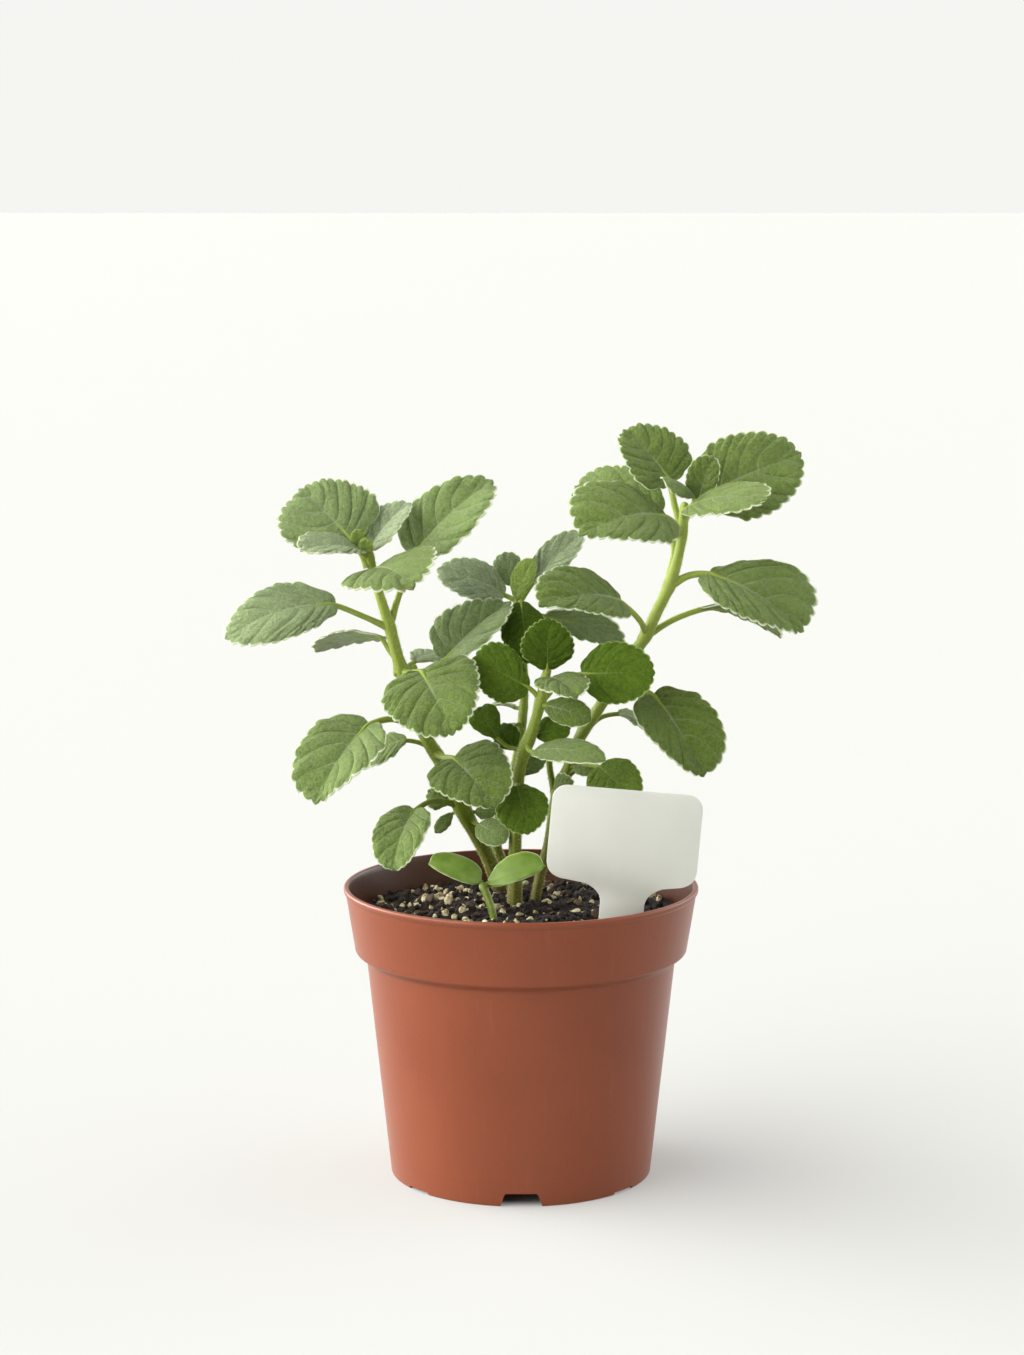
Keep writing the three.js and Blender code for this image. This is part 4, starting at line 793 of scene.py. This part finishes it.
def hairyStem():
    # a young square stem with soft hairs: yellow-green, brown and woody where it leaves the soil
    material, add = newMaterial("softHairyStem")
    coords = add("TexCoord", out="Object")
    height = add("SeparateXYZ", {0: coords}, out=2)
    aged = add("MapRange", {0: height, 1: 80 * mm, 2: 200 * mm, 3: 0.0, 4: 1.0})
    ground = add("ValToRGB", {0: aged}, stops=[
        (0.0, "#5a4a1c"), (0.08, "#625f17"), (0.25, "#647312"), (0.45, "#728326"), (0.7, "#839439"),
        (1.0, "#8b9b42")])
    # fibres 0.9 mm wide and eight times as long
    fibres = add("Mapping", {0: coords, 3: (1, 1, 0.12)})
    streak = add("TexNoise", {"Vector": fibres, "Scale": perMetre(0.91), "Detail": 3})
    shade = add("ValToRGB", {0: streak}, stops=[(0.3, 0.7), (0.7, 1.0)])
    ground = add("Mix", {0: 0.6, 6: ground, 7: shade}, **timesColour)
    angle = add("Attribute", out="Fac", attribute_name="around")
    ridge = add("MapRange", {0: angle, 1: 0.2, 2: 1.0, 3: 0.0, 4: 0.3})
    ground = add("Mix", {0: ridge, 6: ground, 7: colour("#a4b25c")}, **asColour)
    add("OutputMaterial", {"Surface": add("BsdfPrincipled", {
        "Base Color": ground, "Roughness": 0.6, "IOR": 1.42, "Specular IOR Level": 0.35,
        "Sheen Weight": 0.1, "Sheen Roughness": 0.4, "Sheen Tint": colour("#f2f4e0"),
        "Subsurface Weight": 0.2, "Subsurface Radius": (0.8, 1.0, 0.2), "Subsurface Scale": 0.0015,
        "Normal": add("Bump", {"Height": streak, "Strength": 0.4, "Distance": 0.0003})})})
    return material


def paleHair():
    # clear plant hairs: they catch the light as a whitish fringe
    material, add = newMaterial("clearPlantHair")
    patches = add("TexNoise", {"Vector": add("TexCoord", out="Object"), "Scale": perMetre(3.33)})
    ground = add("ValToRGB", {0: patches}, stops=[(0.35, "#a2ae5c"), (0.65, "#c3cc96")])
    add("OutputMaterial", {"Surface": add("BsdfPrincipled", {
        "Base Color": ground, "Roughness": 0.5, "IOR": 1.4})})
    return material


stemMaterial = hairyStem()
hairMaterial = paleHair()


def plantHairs(kind):
    # one thin three-sided hair, copied to every spot that was noted
    places = np.vstack([spot[0] for spot in hairSpots[kind]])
    directions = np.vstack([spot[1] for spot in hairSpots[kind]])
    lengths = np.concatenate([spot[2] for spot in hairSpots[kind]])
    directions /= np.linalg.norm(directions, axis=1)[:, None]
    hair = startPiece(bpy.ops.mesh.primitive_cone_add, vertices=3, radius1=0.05 * mm, radius2=0, depth=1,
                      location=(0, 0, 0.5), end_fill_type="NOTHING")
    shape = np.array([vertex.co for vertex in hair.data.vertices])
    faces = np.array([tuple(face.vertices) for face in hair.data.polygons])
    helper = np.where(np.abs(directions[:, 2:]) > 0.9, (1.0, 0, 0), (0, 0, 1.0))
    sides = np.cross(directions, helper)
    sides /= np.linalg.norm(sides, axis=1)[:, None]
    ups = np.cross(directions, sides)
    grown = directions * (lengths * mm)[:, None]
    across, deep, up = (shape[None, :, axis, None] for axis in range(3))
    spots = places[:, None] * mm + across * sides[:, None] + deep * ups[:, None] + up * grown[:, None]
    every = (faces[None] + (np.arange(len(places)) * len(shape))[:, None, None]).reshape(-1, 3)
    bpy.data.objects.remove(hair)
    fringe = newPiece(kind + "Hairs", spots.reshape(-1, 3).tolist(), every.tolist())
    finishPiece(fringe, hairMaterial)


def growBud(name, x, y, z, radius):
    # a sleeping bud in a leaf's angle: a pair of closed scales
    centre = Vector((x, y, z)) * mm
    bud = startPiece(bpy.ops.mesh.primitive_uv_sphere_add, segments=14, ring_count=10, radius=radius * mm,
                     location=centre)
    bud.name = name
    for vertex in bud.data.vertices:
        away = vertex.co - centre
        away.x *= 0.95
        away.z *= 1.25 if away.z > 0 else 1
        groove = 1 - 0.16 * math.exp(-(away.x / (0.22 * radius * mm)) ** 2)
        vertex.co = centre + away * groove
    return bud


def growLeafyStem(kind, stems, leaves, buds, node):
    tubes = []
    for index, stem in enumerate(stems):
        line = SmoothLine(stem["path"])
        joints = []
        for leaf in leaves:
            gap = np.linalg.norm(line.points - np.array(leaf["joint"], float), axis=1)
            if gap.min() < 2:
                joints.append(line.lengths[gap.argmin()] / line.length)
        rings = int(line.length / stemShape["ringStep"])
        tubes.append(growTube(f"{kind}_stem{index}", stem["path"], stem["radii"], rings, stemShape, joints))
    tubes += [growStalk(f"{kind}_stalk{index}", leaf) for index, leaf in enumerate(leaves)]
    tubes += [growBud(f"{kind}_bud{index}", *bud) for index, bud in enumerate(buds)]
    stemPiece = joinAs(kind + "Stem", tubes)
    smoothUpTo(60, stemPiece)
    finishPiece(stemPiece, stemMaterial, [node])
    blades = [growLeaf(f"{kind}_leaf{index}", leaf) for index, leaf in enumerate(leaves)]
    for blade, leaf in zip(blades, leaves):
        blade.data.materials.clear()
        # leaves marked inShade take the darker copy that paints their shade
        for material in shadedLeaf if "inShade" in leaf else litHairyLeaf:
            blade.data.materials.append(material)
    leafPiece = joinAs(kind + "Leaves", blades)
    smoothUpTo(50, leafPiece)
    finishPiece(leafPiece, None, [node])
    plantHairs(kind)


growLeafyStem("left", [leftStem], leftLeaves, leftBuds, "leafy_stem_left")
growLeafyStem("right", [rightStem, sideShoot], rightLeaves, rightBuds, "leafy_stem_right")
growLeafyStem("front", [frontStem], frontLeaves, [], "leafy_stem_front")
growLeafyStem("back", [backStem], backLeaves, [], "leafy_stem_back")


# seedling

def seedLeafSkin():
    # smooth fleshy seed leaf: brighter and a little shiny, hardly any hairs
    material, add = newMaterial("smoothSeedLeaf")
    coords = add("TexCoord", out="Object")
    across = add("Attribute", out="Fac", attribute_name="fromMidrib")
    patches = add("TexNoise", {"Vector": coords, "Scale": perMetre(4.55), "Detail": 3})
    ground = add("ValToRGB", {0: patches}, stops=[(0.3, "#56701f"), (0.7, "#718a3a")])
    rim = add("MapRange", {0: across, 1: 0.92, 2: 1.0, 3: 0.0, 4: 0.7}, **smooth)
    ground = add("Mix", {0: rim, 6: ground, 7: colour("#c5d89a")}, **asColour)
    pores = add("TexNoise", {"Vector": coords, "Scale": perMetre(0.385), "Detail": 2})
    add("OutputMaterial", {"Surface": add("BsdfPrincipled", {
        "Base Color": ground, "Roughness": 0.42, "IOR": 1.42, "Sheen Weight": 0.1, "Sheen Roughness": 0.4,
        "Subsurface Weight": 0.2, "Subsurface Radius": (0.8, 1.2, 0.3), "Subsurface Scale": 0.001,
        "Normal": add("Bump", {"Height": pores, "Strength": 0.25, "Distance": 0.0001})})})
    return material


def seedlingStalk():
    # juicy young stem: bright green, smooth and a little see-through
    material, add = newMaterial("juicySeedlingStem")
    patches = add("TexNoise", {"Vector": add("TexCoord", out="Object"), "Scale": perMetre(2.5), "Detail": 3})
    ground = add("ValToRGB", {0: patches}, stops=[(0.3, "#4c5a0a"), (0.7, "#697820")])
    add("OutputMaterial", {"Surface": add("BsdfPrincipled", {
        "Base Color": ground, "Roughness": 0.4, "IOR": 1.42, "Subsurface Weight": 0.2,
        "Subsurface Radius": (0.8, 1.2, 0.3), "Subsurface Scale": 0.001})})
    return material


def growSeedling():
    skin = seedLeafSkin()
    tubes = [growTube("seedling_stem", seedlingStem["path"], seedlingStem["radii"], seedlingShape["rings"],
                      seedlingShape)]
    for index, leaf in enumerate(seedLeaves):
        tubes.append(growStalk(f"seedling_stalk{index}", leaf, hairy=False, thick=1.3))
    stemPiece = joinAs("seedlingStem", tubes)
    smoothUpTo(60, stemPiece)
    finishPiece(stemPiece, seedlingStalk(), ["seedling"])
    blades = [growLeaf(f"seedling_leaf{index}", leaf, seedLeafShape, hairy=False)
              for index, leaf in enumerate(seedLeaves)]
    leafPiece = joinAs("seedLeaves", blades)
    smoothUpTo(60, leafPiece)
    finishPiece(leafPiece, skin, ["seedling"])
    plantHairs("seedling")


growSeedling()


# nursery pot

pot = dict(height=91, rimRadius=55, lip=1.5, wall=1.3, bandTop=54.4, bandFoot=51.5, bandFootHeight=71,
           bodyTop=48, bodyTopHeight=68.5, foot=40.6, floorHeight=7, floorThickness=1.4, sides=160, holes=6,
           holeRadius=3.5, holeRing=25, witnessHeight=7.3)
deepNotch = dict(turns=(0, 180), height=4.2, footWidth=14, topWidth=10, bevel=0.7)
lowNotch = dict(turns=(51, 129, 231, 309), height=0.9, footWidth=10, topWidth=9, bevel=0.2)


def bodyRadius(height):
    # outside of the tapered body
    return pot["foot"] + (pot["bodyTop"] - pot["foot"]) * height / pot["bodyTopHeight"]


def turned(name, profile, steps):
    # a profile of [radius, height] drawn by extruding one corner, then spun round the upright axis
    start = (profile[0][0] * mm, 0, profile[0][1] * mm)
    piece = startPiece(bpy.ops.mesh.primitive_plane_add, size=mm, location=start)
    piece.name = name
    bpy.ops.object.mode_set(mode="EDIT")
    bpy.ops.mesh.select_mode(type="VERT")
    bpy.ops.mesh.select_all(action="SELECT")
    bpy.ops.mesh.merge(type="CENTER")
    for before, after in zip(profile, profile[1:]):
        move = ((after[0] - before[0]) * mm, 0, (after[1] - before[1]) * mm)
        bpy.ops.mesh.extrude_region_move(TRANSFORM_OT_translate={"value": move})
    bpy.ops.mesh.select_all(action="SELECT")
    bpy.ops.mesh.spin(steps=steps, angle=2 * math.pi, center=(0, 0, 0), axis=(0, 0, 1))
    bpy.ops.object.mode_set(mode="OBJECT")
    mergeAndFaceOut(piece, 2e-6)
    return piece


def rounded(profile, radius, bends=3):
    # each corner of the profile is replaced by a short arc
    softened = [profile[0]]
    for before, corner, after in zip(profile, profile[1:], profile[2:]):
        a, b, c = (np.array(p, float) for p in (before, corner, after))
        reach = min(radius, 0.45 * np.linalg.norm(a - b), 0.45 * np.linalg.norm(c - b))
        start = b + (a - b) / np.linalg.norm(a - b) * reach
        end = b + (c - b) / np.linalg.norm(c - b) * reach
        for step in range(bends + 1):
            t = step / bends
            softened.append(tuple((1 - t) ** 2 * start + 2 * t * (1 - t) * b + t ** 2 * end))
    return [*softened, profile[-1]]


def cutWith(piece, cutter):
    applyModifier(piece, "BOOLEAN", operation="DIFFERENCE", object=cutter, solver="EXACT")
    bpy.data.objects.remove(cutter)


def potPlastic():
    # polypropylene, injection moulded: an even brick-brown satin with a faint grain and soft scuffs
    p = pot
    material, add = newMaterial("mouldedPolypropylene")
    coords = add("TexCoord", out="Object")
    cloud = add("TexNoise", {"Vector": coords, "Scale": perMetre(35.7), "Detail": 4})
    ground = add("ValToRGB", {0: cloud}, stops=[(0.3, "#72371e"), (0.7, "#7a3c21")])
    # recycled pigment leaves specks about half a millimetre across
    specks = add("TexNoise", {"Vector": coords, "Scale": perMetre(0.556), "Detail": 2})
    speck = add("ValToRGB", {0: specks}, stops=[(0.33, 0.86), (0.5, 1.0)])
    ground = add("Mix", {0: 0.5, 6: ground, 7: speck}, **timesColour)
    # upright scuffs 2.4 mm wide, from being pulled out of a stack
    upright = add("Mapping", {0: coords, 3: (1, 1, 0.06)})
    scuffs = add("TexNoise", {"Vector": upright, "Scale": perMetre(2.38), "Detail": 3})
    worn = add("MapRange", {0: scuffs, 1: 0.62, 2: 0.75, 3: 0.0, 4: 0.05})
    ground = add("Mix", {0: worn, 6: ground, 7: colour("#a87058")}, **asColour)
    # the inside of the band above the soil is painted darker: painted shade in the pot's hollow
    parts = add("SeparateXYZ", {0: coords}).node.outputs
    radius = add("VectorMath", {0: add("CombineXYZ", {0: parts[0], 1: parts[1]})}, out="Value",
                 operation="LENGTH")
    wallMiddle = [(p[key] - p["wall"] / 2 + 0.05) * mm for key in ("bandFoot", "bandTop")]
    middle = add("MapRange", {0: parts[2], 1: p["bandFootHeight"] * mm, 2: (p["height"] - p["lip"]) * mm,
                              3: wallMiddle[0], 4: wallMiddle[1]})
    within = add("Math", {0: middle, 1: radius}, operation="SUBTRACT")
    inside = add("MapRange", {0: within, 1: 0.0, 2: 0.2 * mm, 3: 0.0, 4: 0.75})
    aboveStep = add("MapRange", {0: parts[2], 1: (p["bandFootHeight"] + 0.2) * mm,
                                 2: (p["bandFootHeight"] + 1) * mm, 3: 0.0, 4: 1.0})
    inside = add("Math", {0: inside, 1: aboveStep}, operation="MULTIPLY")
    ground = add("Mix", {0: inside, 6: ground, 7: colour("#2a1603")}, **asColour)
    # orange peel about 1 mm across
    peel = add("TexNoise", {"Vector": coords, "Scale": perMetre(1.11), "Detail": 1})
    height = add("Math", {0: specks, 1: 0.4, 2: peel}, operation="MULTIPLY_ADD")
    add("OutputMaterial", {"Surface": add("BsdfPrincipled", {
        "Base Color": ground, "IOR": 1.5, "Specular IOR Level": 0.35,
        "Roughness": add("MapRange", {0: cloud, 1: 0.3, 2: 0.7, 3: 0.3, 4: 0.38}),
        "Subsurface Weight": 0.06, "Subsurface Radius": (1.5, 0.6, 0.4), "Subsurface Scale": 0.001,
        "Normal": add("Bump", {"Height": height, "Strength": 0.2, "Distance": 0.00012})})})
    return material


def makePot():
    p = pot
    floorTop = p["floorHeight"] + p["floorThickness"]
    profile = [
        (0, p["floorHeight"]),
        (bodyRadius(p["floorHeight"]) - p["wall"], p["floorHeight"]),
        (p["foot"] - p["wall"], 0),
        (p["foot"], 0),
        (bodyRadius(p["witnessHeight"]) - 0.04, p["witnessHeight"] - 0.3),
        (bodyRadius(p["witnessHeight"]) + 0.03, p["witnessHeight"]),
        (bodyRadius(p["witnessHeight"] + 1.2), p["witnessHeight"] + 1.2),
        (p["bodyTop"], p["bodyTopHeight"]),
        (p["bandFoot"] - 0.6, p["bandFootHeight"] - 0.6),
        (p["bandFoot"], p["bandFootHeight"]),
        (p["bandTop"], p["height"] - p["lip"] - 0.6),
        (p["rimRadius"], p["height"] - p["lip"]),
        (p["rimRadius"], p["height"] - 0.4),
        (p["rimRadius"] - 0.4, p["height"]),
        (p["rimRadius"] - p["lip"], p["height"]),
        (p["bandTop"] - p["wall"], p["height"] - p["lip"]),
        (p["bandFoot"] - p["wall"], p["bandFootHeight"] + 1),
        (p["bodyTop"] - p["wall"], p["bodyTopHeight"]),
        (bodyRadius(floorTop) - p["wall"], floorTop),
        (0, floorTop),
    ]
    shell = turned("nurseryPot", rounded(profile, 0.9), p["sides"])
    for notch in (deepNotch, lowNotch):
        for turn in notch["turns"]:
            block = [notch["footWidth"], 8, notch["height"] + 2]
            wedge = startPiece(bpy.ops.mesh.primitive_cube_add, size=1, scale=[c * mm for c in block],
                               location=(0, -(p["foot"] - 1) * mm, (notch["height"] - 2) / 2 * mm))
            for vertex in wedge.data.vertices:
                if vertex.co.z > 0:
                    vertex.co.x *= notch["topWidth"] / notch["footWidth"]
            bpy.ops.object.mode_set(mode="EDIT")
            bpy.ops.mesh.select_all(action="SELECT")
            bpy.ops.transform.rotate(value=-math.radians(turn), orient_axis="Z", center_override=(0, 0, 0))
            bpy.ops.object.mode_set(mode="OBJECT")
            applyModifier(wedge, "BEVEL", width=notch["bevel"] * mm, segments=3, limit_method="ANGLE")
            cutWith(shell, wedge)
    for index in range(p["holes"]):
        turn = (index + 0.5) / p["holes"] * 2 * math.pi
        middle = [math.cos(turn) * p["holeRing"], math.sin(turn) * p["holeRing"], p["floorHeight"]]
        cutWith(shell, startPiece(bpy.ops.mesh.primitive_cylinder_add, vertices=28, depth=8 * mm,
                                  radius=p["holeRadius"] * mm, location=[c * mm for c in middle]))
    smoothUpTo(35, shell)
    finishPiece(shell, potPlastic(), ["pot"])


makePot()


# soil, which keeps clear of the plant label

label = dict(at=(29.7, -28, 82), lean=-5, headWidth=45.5, headShift=-1.2, headHeight=31, headFoot=13,
             corner=4.5, shoulderRise=2.4, cornerRise=3.5, neckWidth=13.4, curveReach=5, curveStart=4,
             curveBend=0.5, curveEnd=1.5, stakeDepth=34, pointHeight=14, pointWidth=3, thickness=0.8)
soil = dict(top=82, mound=1.6, lump=0.9, rings=64, around=150, roughness=0.9, gap=0.35)
peatCrumbs = dict(count=900, sizes=(0.4, 1.35), flatness=0.8, tilt=1, sink=0.2, reach=49, clear=1.2,
                  rough=0.5, rightShare=1, seed=5)
barkChips = dict(count=190, sizes=(0.6, 1.7), flatness=0.45, tilt=0.12, sink=0.05, reach=48.5, clear=1.6,
                 rough=0.35, rightShare=1, seed=8)
perliteGrains = dict(count=340, sizes=(0.4, 1.35), flatness=0.8, tilt=1, sink=0.1, reach=49, clear=1.4,
                     rough=0.6, rightShare=0.45, seed=11)


def soilHeight(x, y):
    away = np.hypot(x, y) / pot["bandFoot"]
    lumps = np.sin(x * 0.31 + 1) * np.cos(y * 0.27) + 0.6 * np.sin(x * 0.13 - y * 0.36 + 2)
    return soil["top"] + soil["mound"] * (0.5 - away ** 2) + soil["lump"] * lumps


def peat():
    # moist peat: nearly black brown crumbs with paler fibres, rough and only a little shiny where wet
    material, add = newMaterial("moistPeat")
    coords = add("TexCoord", out="Object")
    crumbs = add("TexNoise", {"Vector": coords, "Scale": perMetre(2.38), "Detail": 6, "Roughness": 0.7})
    ground = add("ValToRGB", {0: crumbs}, stops=[
        (0.3, "#0b0703"), (0.5, "#1a110a"), (0.68, "#322215"), (0.8, "#4d3826")])
    grit = add("TexVoronoi", {"Vector": coords, "Scale": perMetre(1.11)})
    height = add("Math", {0: grit, 1: 0.5, 2: crumbs}, operation="MULTIPLY_ADD")
    add("OutputMaterial", {"Surface": add("BsdfPrincipled", {
        "Base Color": ground, "IOR": 1.4,
        "Roughness": add("MapRange", {0: crumbs, 1: 0.3, 2: 0.7, 3: 0.6, 4: 0.95}),
        "Normal": add("Bump", {"Height": height, "Strength": 0.9, "Distance": 0.0006})})})
    return material


def grain(name, stops, roughness, pitSize, depth, patch=7.69):
    # a loose grain of the potting mix: stained in patches, with soil in its pits
    material, add = newMaterial(name)
    coords = add("TexCoord", out="Object")
    pits = add("TexNoise", {"Vector": coords, "Scale": perMetre(pitSize), "Detail": 4, "Roughness": 0.65})
    stain = add("TexNoise", {"Vector": coords, "Scale": perMetre(patch), "Detail": 2})
    ground = add("ValToRGB", {0: stain}, stops=stops)
    dirt = add("ValToRGB", {0: pits}, stops=[(0.32, 0.45), (0.5, 1.0)])
    ground = add("Mix", {0: 0.7, 6: ground, 7: dirt}, **timesColour)
    add("OutputMaterial", {"Surface": add("BsdfPrincipled", {
        "Base Color": ground, "Roughness": roughness, "IOR": 1.45,
        "Normal": add("Bump", {"Height": pits, "Strength": 0.6, "Distance": depth})})})
    return material


def scatter(name, shape, grains, material):
    # copies of one grain, each turned, stretched and roughened in its own way, lying on the soil
    g = grains
    draw = np.random.default_rng(g["seed"])
    base = np.array([vertex.co for vertex in shape.data.vertices])
    faces = [tuple(face.vertices) for face in shape.data.polygons]
    feet = [stemFoot(stem) for stem in (leftStem, rightStem, frontStem, backStem, seedlingStem)]
    feet += [np.array([label["at"][0] + x, label["at"][1]]) for x in (-6, -3, 0, 3, 6)]
    vertices, polygons, kept = [], [], 0
    while kept < g["count"]:
        turn = draw.random() * 2 * np.pi
        away = g["reach"] * draw.random() ** 0.5
        x, y = away * np.cos(turn), away * np.sin(turn)
        size = g["sizes"][0] + (g["sizes"][1] - g["sizes"][0]) * draw.random() ** 1.6
        spin = draw.random(3) * 2 * np.pi * (g["tilt"], g["tilt"], 1)
        stretch = np.array([1, 0.75, 0.8 * g["flatness"]]) + draw.random(3) * (0.5, 0.35, 0.4 * g["flatness"])
        if min(np.hypot(*(np.array([x, y]) - foot)) for foot in feet) < g["clear"] + size:
            continue
        if x > 2 and draw.random() > g["rightShare"]:
            continue
        cx, cy, cz = np.cos(spin)
        sx, sy, sz = np.sin(spin)
        turnX = np.array([[1, 0, 0], [0, cx, -sx], [0, sx, cx]])
        turnY = np.array([[cy, 0, sy], [0, 1, 0], [-sy, 0, cy]])
        turnZ = np.array([[cz, -sz, 0], [sz, cz, 0], [0, 0, 1]])
        body = base * stretch * size @ (turnZ @ turnY @ turnX).T
        bumps = [noise.noise(Vector(p * 0.9 + np.array([x, y, 0]) * 3.1)) for p in body / size]
        body = body * (1 + g["rough"] * np.array(bumps))[:, None]
        body += np.array([x, y, soilHeight(x, y) + size * (0.4 - g["sink"])])
        polygons += [tuple(i + len(vertices) for i in face) for face in faces]
        vertices += (body * mm).tolist()
        kept += 1
    bpy.data.objects.remove(shape)
    piece = newPiece(name, vertices, polygons)
    smoothUpTo(55, piece)
    finishPiece(piece, material)


def stemFoot(stem):
    above = next(point for point in stem["path"] if point[2] > soil["top"] - 5)
    return np.array(above[:2], float)


def makeSoil():
    p, s = pot, soil
    foot = p["floorHeight"] + p["floorThickness"] + s["gap"]
    edge = s["top"] - 2
    slope = (p["bandTop"] - p["bandFoot"]) / (p["height"] - p["bandFootHeight"])
    band = p["bandFoot"] - p["wall"] + slope * (edge - p["bandFootHeight"])
    profile = [(0, foot), (bodyRadius(foot) - p["wall"] - 0.65, foot),
               (p["bodyTop"] - p["wall"] - 0.35, p["bodyTopHeight"] + 0.3),
               (p["bandFoot"] - p["wall"] - 0.65, p["bandFootHeight"] + 2), (band - 0.65, edge)]
    profile += [(r, s["top"]) for r in np.linspace(band - 1.1, 0, s["rings"])]
    bed = turned("pottingSoil", profile, s["around"])
    for vertex in bed.data.vertices:
        x, y, z = (c / mm for c in vertex.co)
        if z > s["top"] - 1:
            rough = noise.fractal(Vector((x, y, 4)) * 0.55, 0.6, 2.1, 4)
            edgeFade = float(smoothStep(band - 0.4, band - 5, np.hypot(x, y)))
            vertex.co.z = (float(soilHeight(x, y)) + s["roughness"] * rough * (0.4 + 0.6 * edgeFade)) * mm
    smoothUpTo(70, bed)
    finishPiece(bed, peat(), ["soil"])
    # perlite: popped glass, creamy and chalky with soil in its pits
    perlite = grain("expandedPerlite", [(0.25, "#5f482f"), (0.4, "#947f5c"), (0.55, "#ccc09a"),
                                        (0.7, "#a8ab8b")], 0.85, 1.11, 0.0004, patch=2.22)
    bark = grain("compostedBark", [(0.3, "#20140c"), (0.5, "#3a2617"), (0.72, "#5f4229")], 0.8, 1.43, 0.0005)
    lump = grain("peatCrumb", [(0.3, "#0d0805"), (0.55, "#1c120b"), (0.75, "#302014")], 0.9, 1.25, 0.0006)
    # every scatter takes a grain of its own and removes it
    pebble = partial(startPiece, bpy.ops.mesh.primitive_ico_sphere_add, subdivisions=2, radius=1)
    scatter("peatCrumbs", pebble(), peatCrumbs, lump)
    chip = startPiece(bpy.ops.mesh.primitive_cube_add, size=1.6)
    applyModifier(chip, "BEVEL", width=0.3, segments=1)
    scatter("barkChips", chip, barkChips, bark)
    scatter("perliteGrains", pebble(), perliteGrains, perlite)


makeSoil()


# plant label

def labelPlastic():
    # polystyrene sheet, die cut: white and satin, with faint handling marks; its colour is a light grey
    # rather than white, which paints the shade it lies in under the leaves
    material, add = newMaterial("dieCutPolystyrene")
    cloud = add("TexNoise", {"Vector": add("TexCoord", out="Object"), "Scale": perMetre(16.7), "Detail": 4})
    ground = add("ValToRGB", {0: cloud}, stops=[(0.3, "#b8b9b1"), (0.7, "#bebfb7")])
    add("OutputMaterial", {"Surface": add("BsdfPrincipled", {
        "Base Color": ground, "IOR": 1.57, "Subsurface Weight": 0.1, "Subsurface Radius": (1, 1, 1),
        "Subsurface Scale": 0.001,
        "Roughness": add("MapRange", {0: cloud, 1: 0.3, 2: 0.7, 3: 0.3, 4: 0.45})})})
    return material


def makeLabel():
    l = label
    neck = l["neckWidth"] / 2
    foot, top = l["headFoot"], l["headFoot"] + l["headHeight"]
    shoulder, cornerAt = foot + l["shoulderRise"], foot + l["cornerRise"]

    def bend(start, middle, end, steps=8):
        start, middle, end = (np.array(point) for point in (start, middle, end))
        return [tuple((1 - t) ** 2 * start + 2 * t * (1 - t) * middle + t ** 2 * end)
                for t in np.linspace(0, 1, steps)]

    def half(width):
        # from the point of the stake up to the middle of the top edge
        points = [(l["pointWidth"] / 2, -l["stakeDepth"]), (neck, l["pointHeight"] - l["stakeDepth"])]
        points += bend((neck, foot - l["curveStart"]), (neck, foot - l["curveBend"]),
                       (neck + l["curveReach"], foot + l["curveEnd"]))
        points += bend((width - l["corner"], shoulder), (width, cornerAt), (width, cornerAt + l["corner"]))
        return points + [(width - l["corner"] * (1 - math.cos(a)), top - l["corner"] * (1 - math.sin(a)))
                         for a in np.linspace(0, math.pi / 2, 10)]

    right = half(l["headWidth"] / 2 + l["headShift"])
    outline = right + [(-x, z) for x, z in reversed(half(l["headWidth"] / 2 - l["headShift"]))]
    plate = startPiece(bpy.ops.mesh.primitive_circle_add, vertices=len(outline), radius=10 * mm,
                       fill_type="NGON")
    plate.name = "plantLabel"
    for vertex, (x, z) in zip(plate.data.vertices, outline):
        vertex.co = (x * mm, 0, z * mm)
    applyModifier(plate, "SOLIDIFY", thickness=l["thickness"] * mm, offset=0)
    mergeAndFaceOut(plate)
    applyModifier(plate, "BEVEL", width=0.16 * mm, segments=2, limit_method="ANGLE",
                  angle_limit=math.radians(50))
    plate.rotation_euler = (0, math.radians(-l["lean"]), 0)
    plate.location = [c * mm for c in l["at"]]
    smoothUpTo(40, settle(plate))
    finishPiece(plate, labelPlastic(), ["plant_label"])


makeLabel()
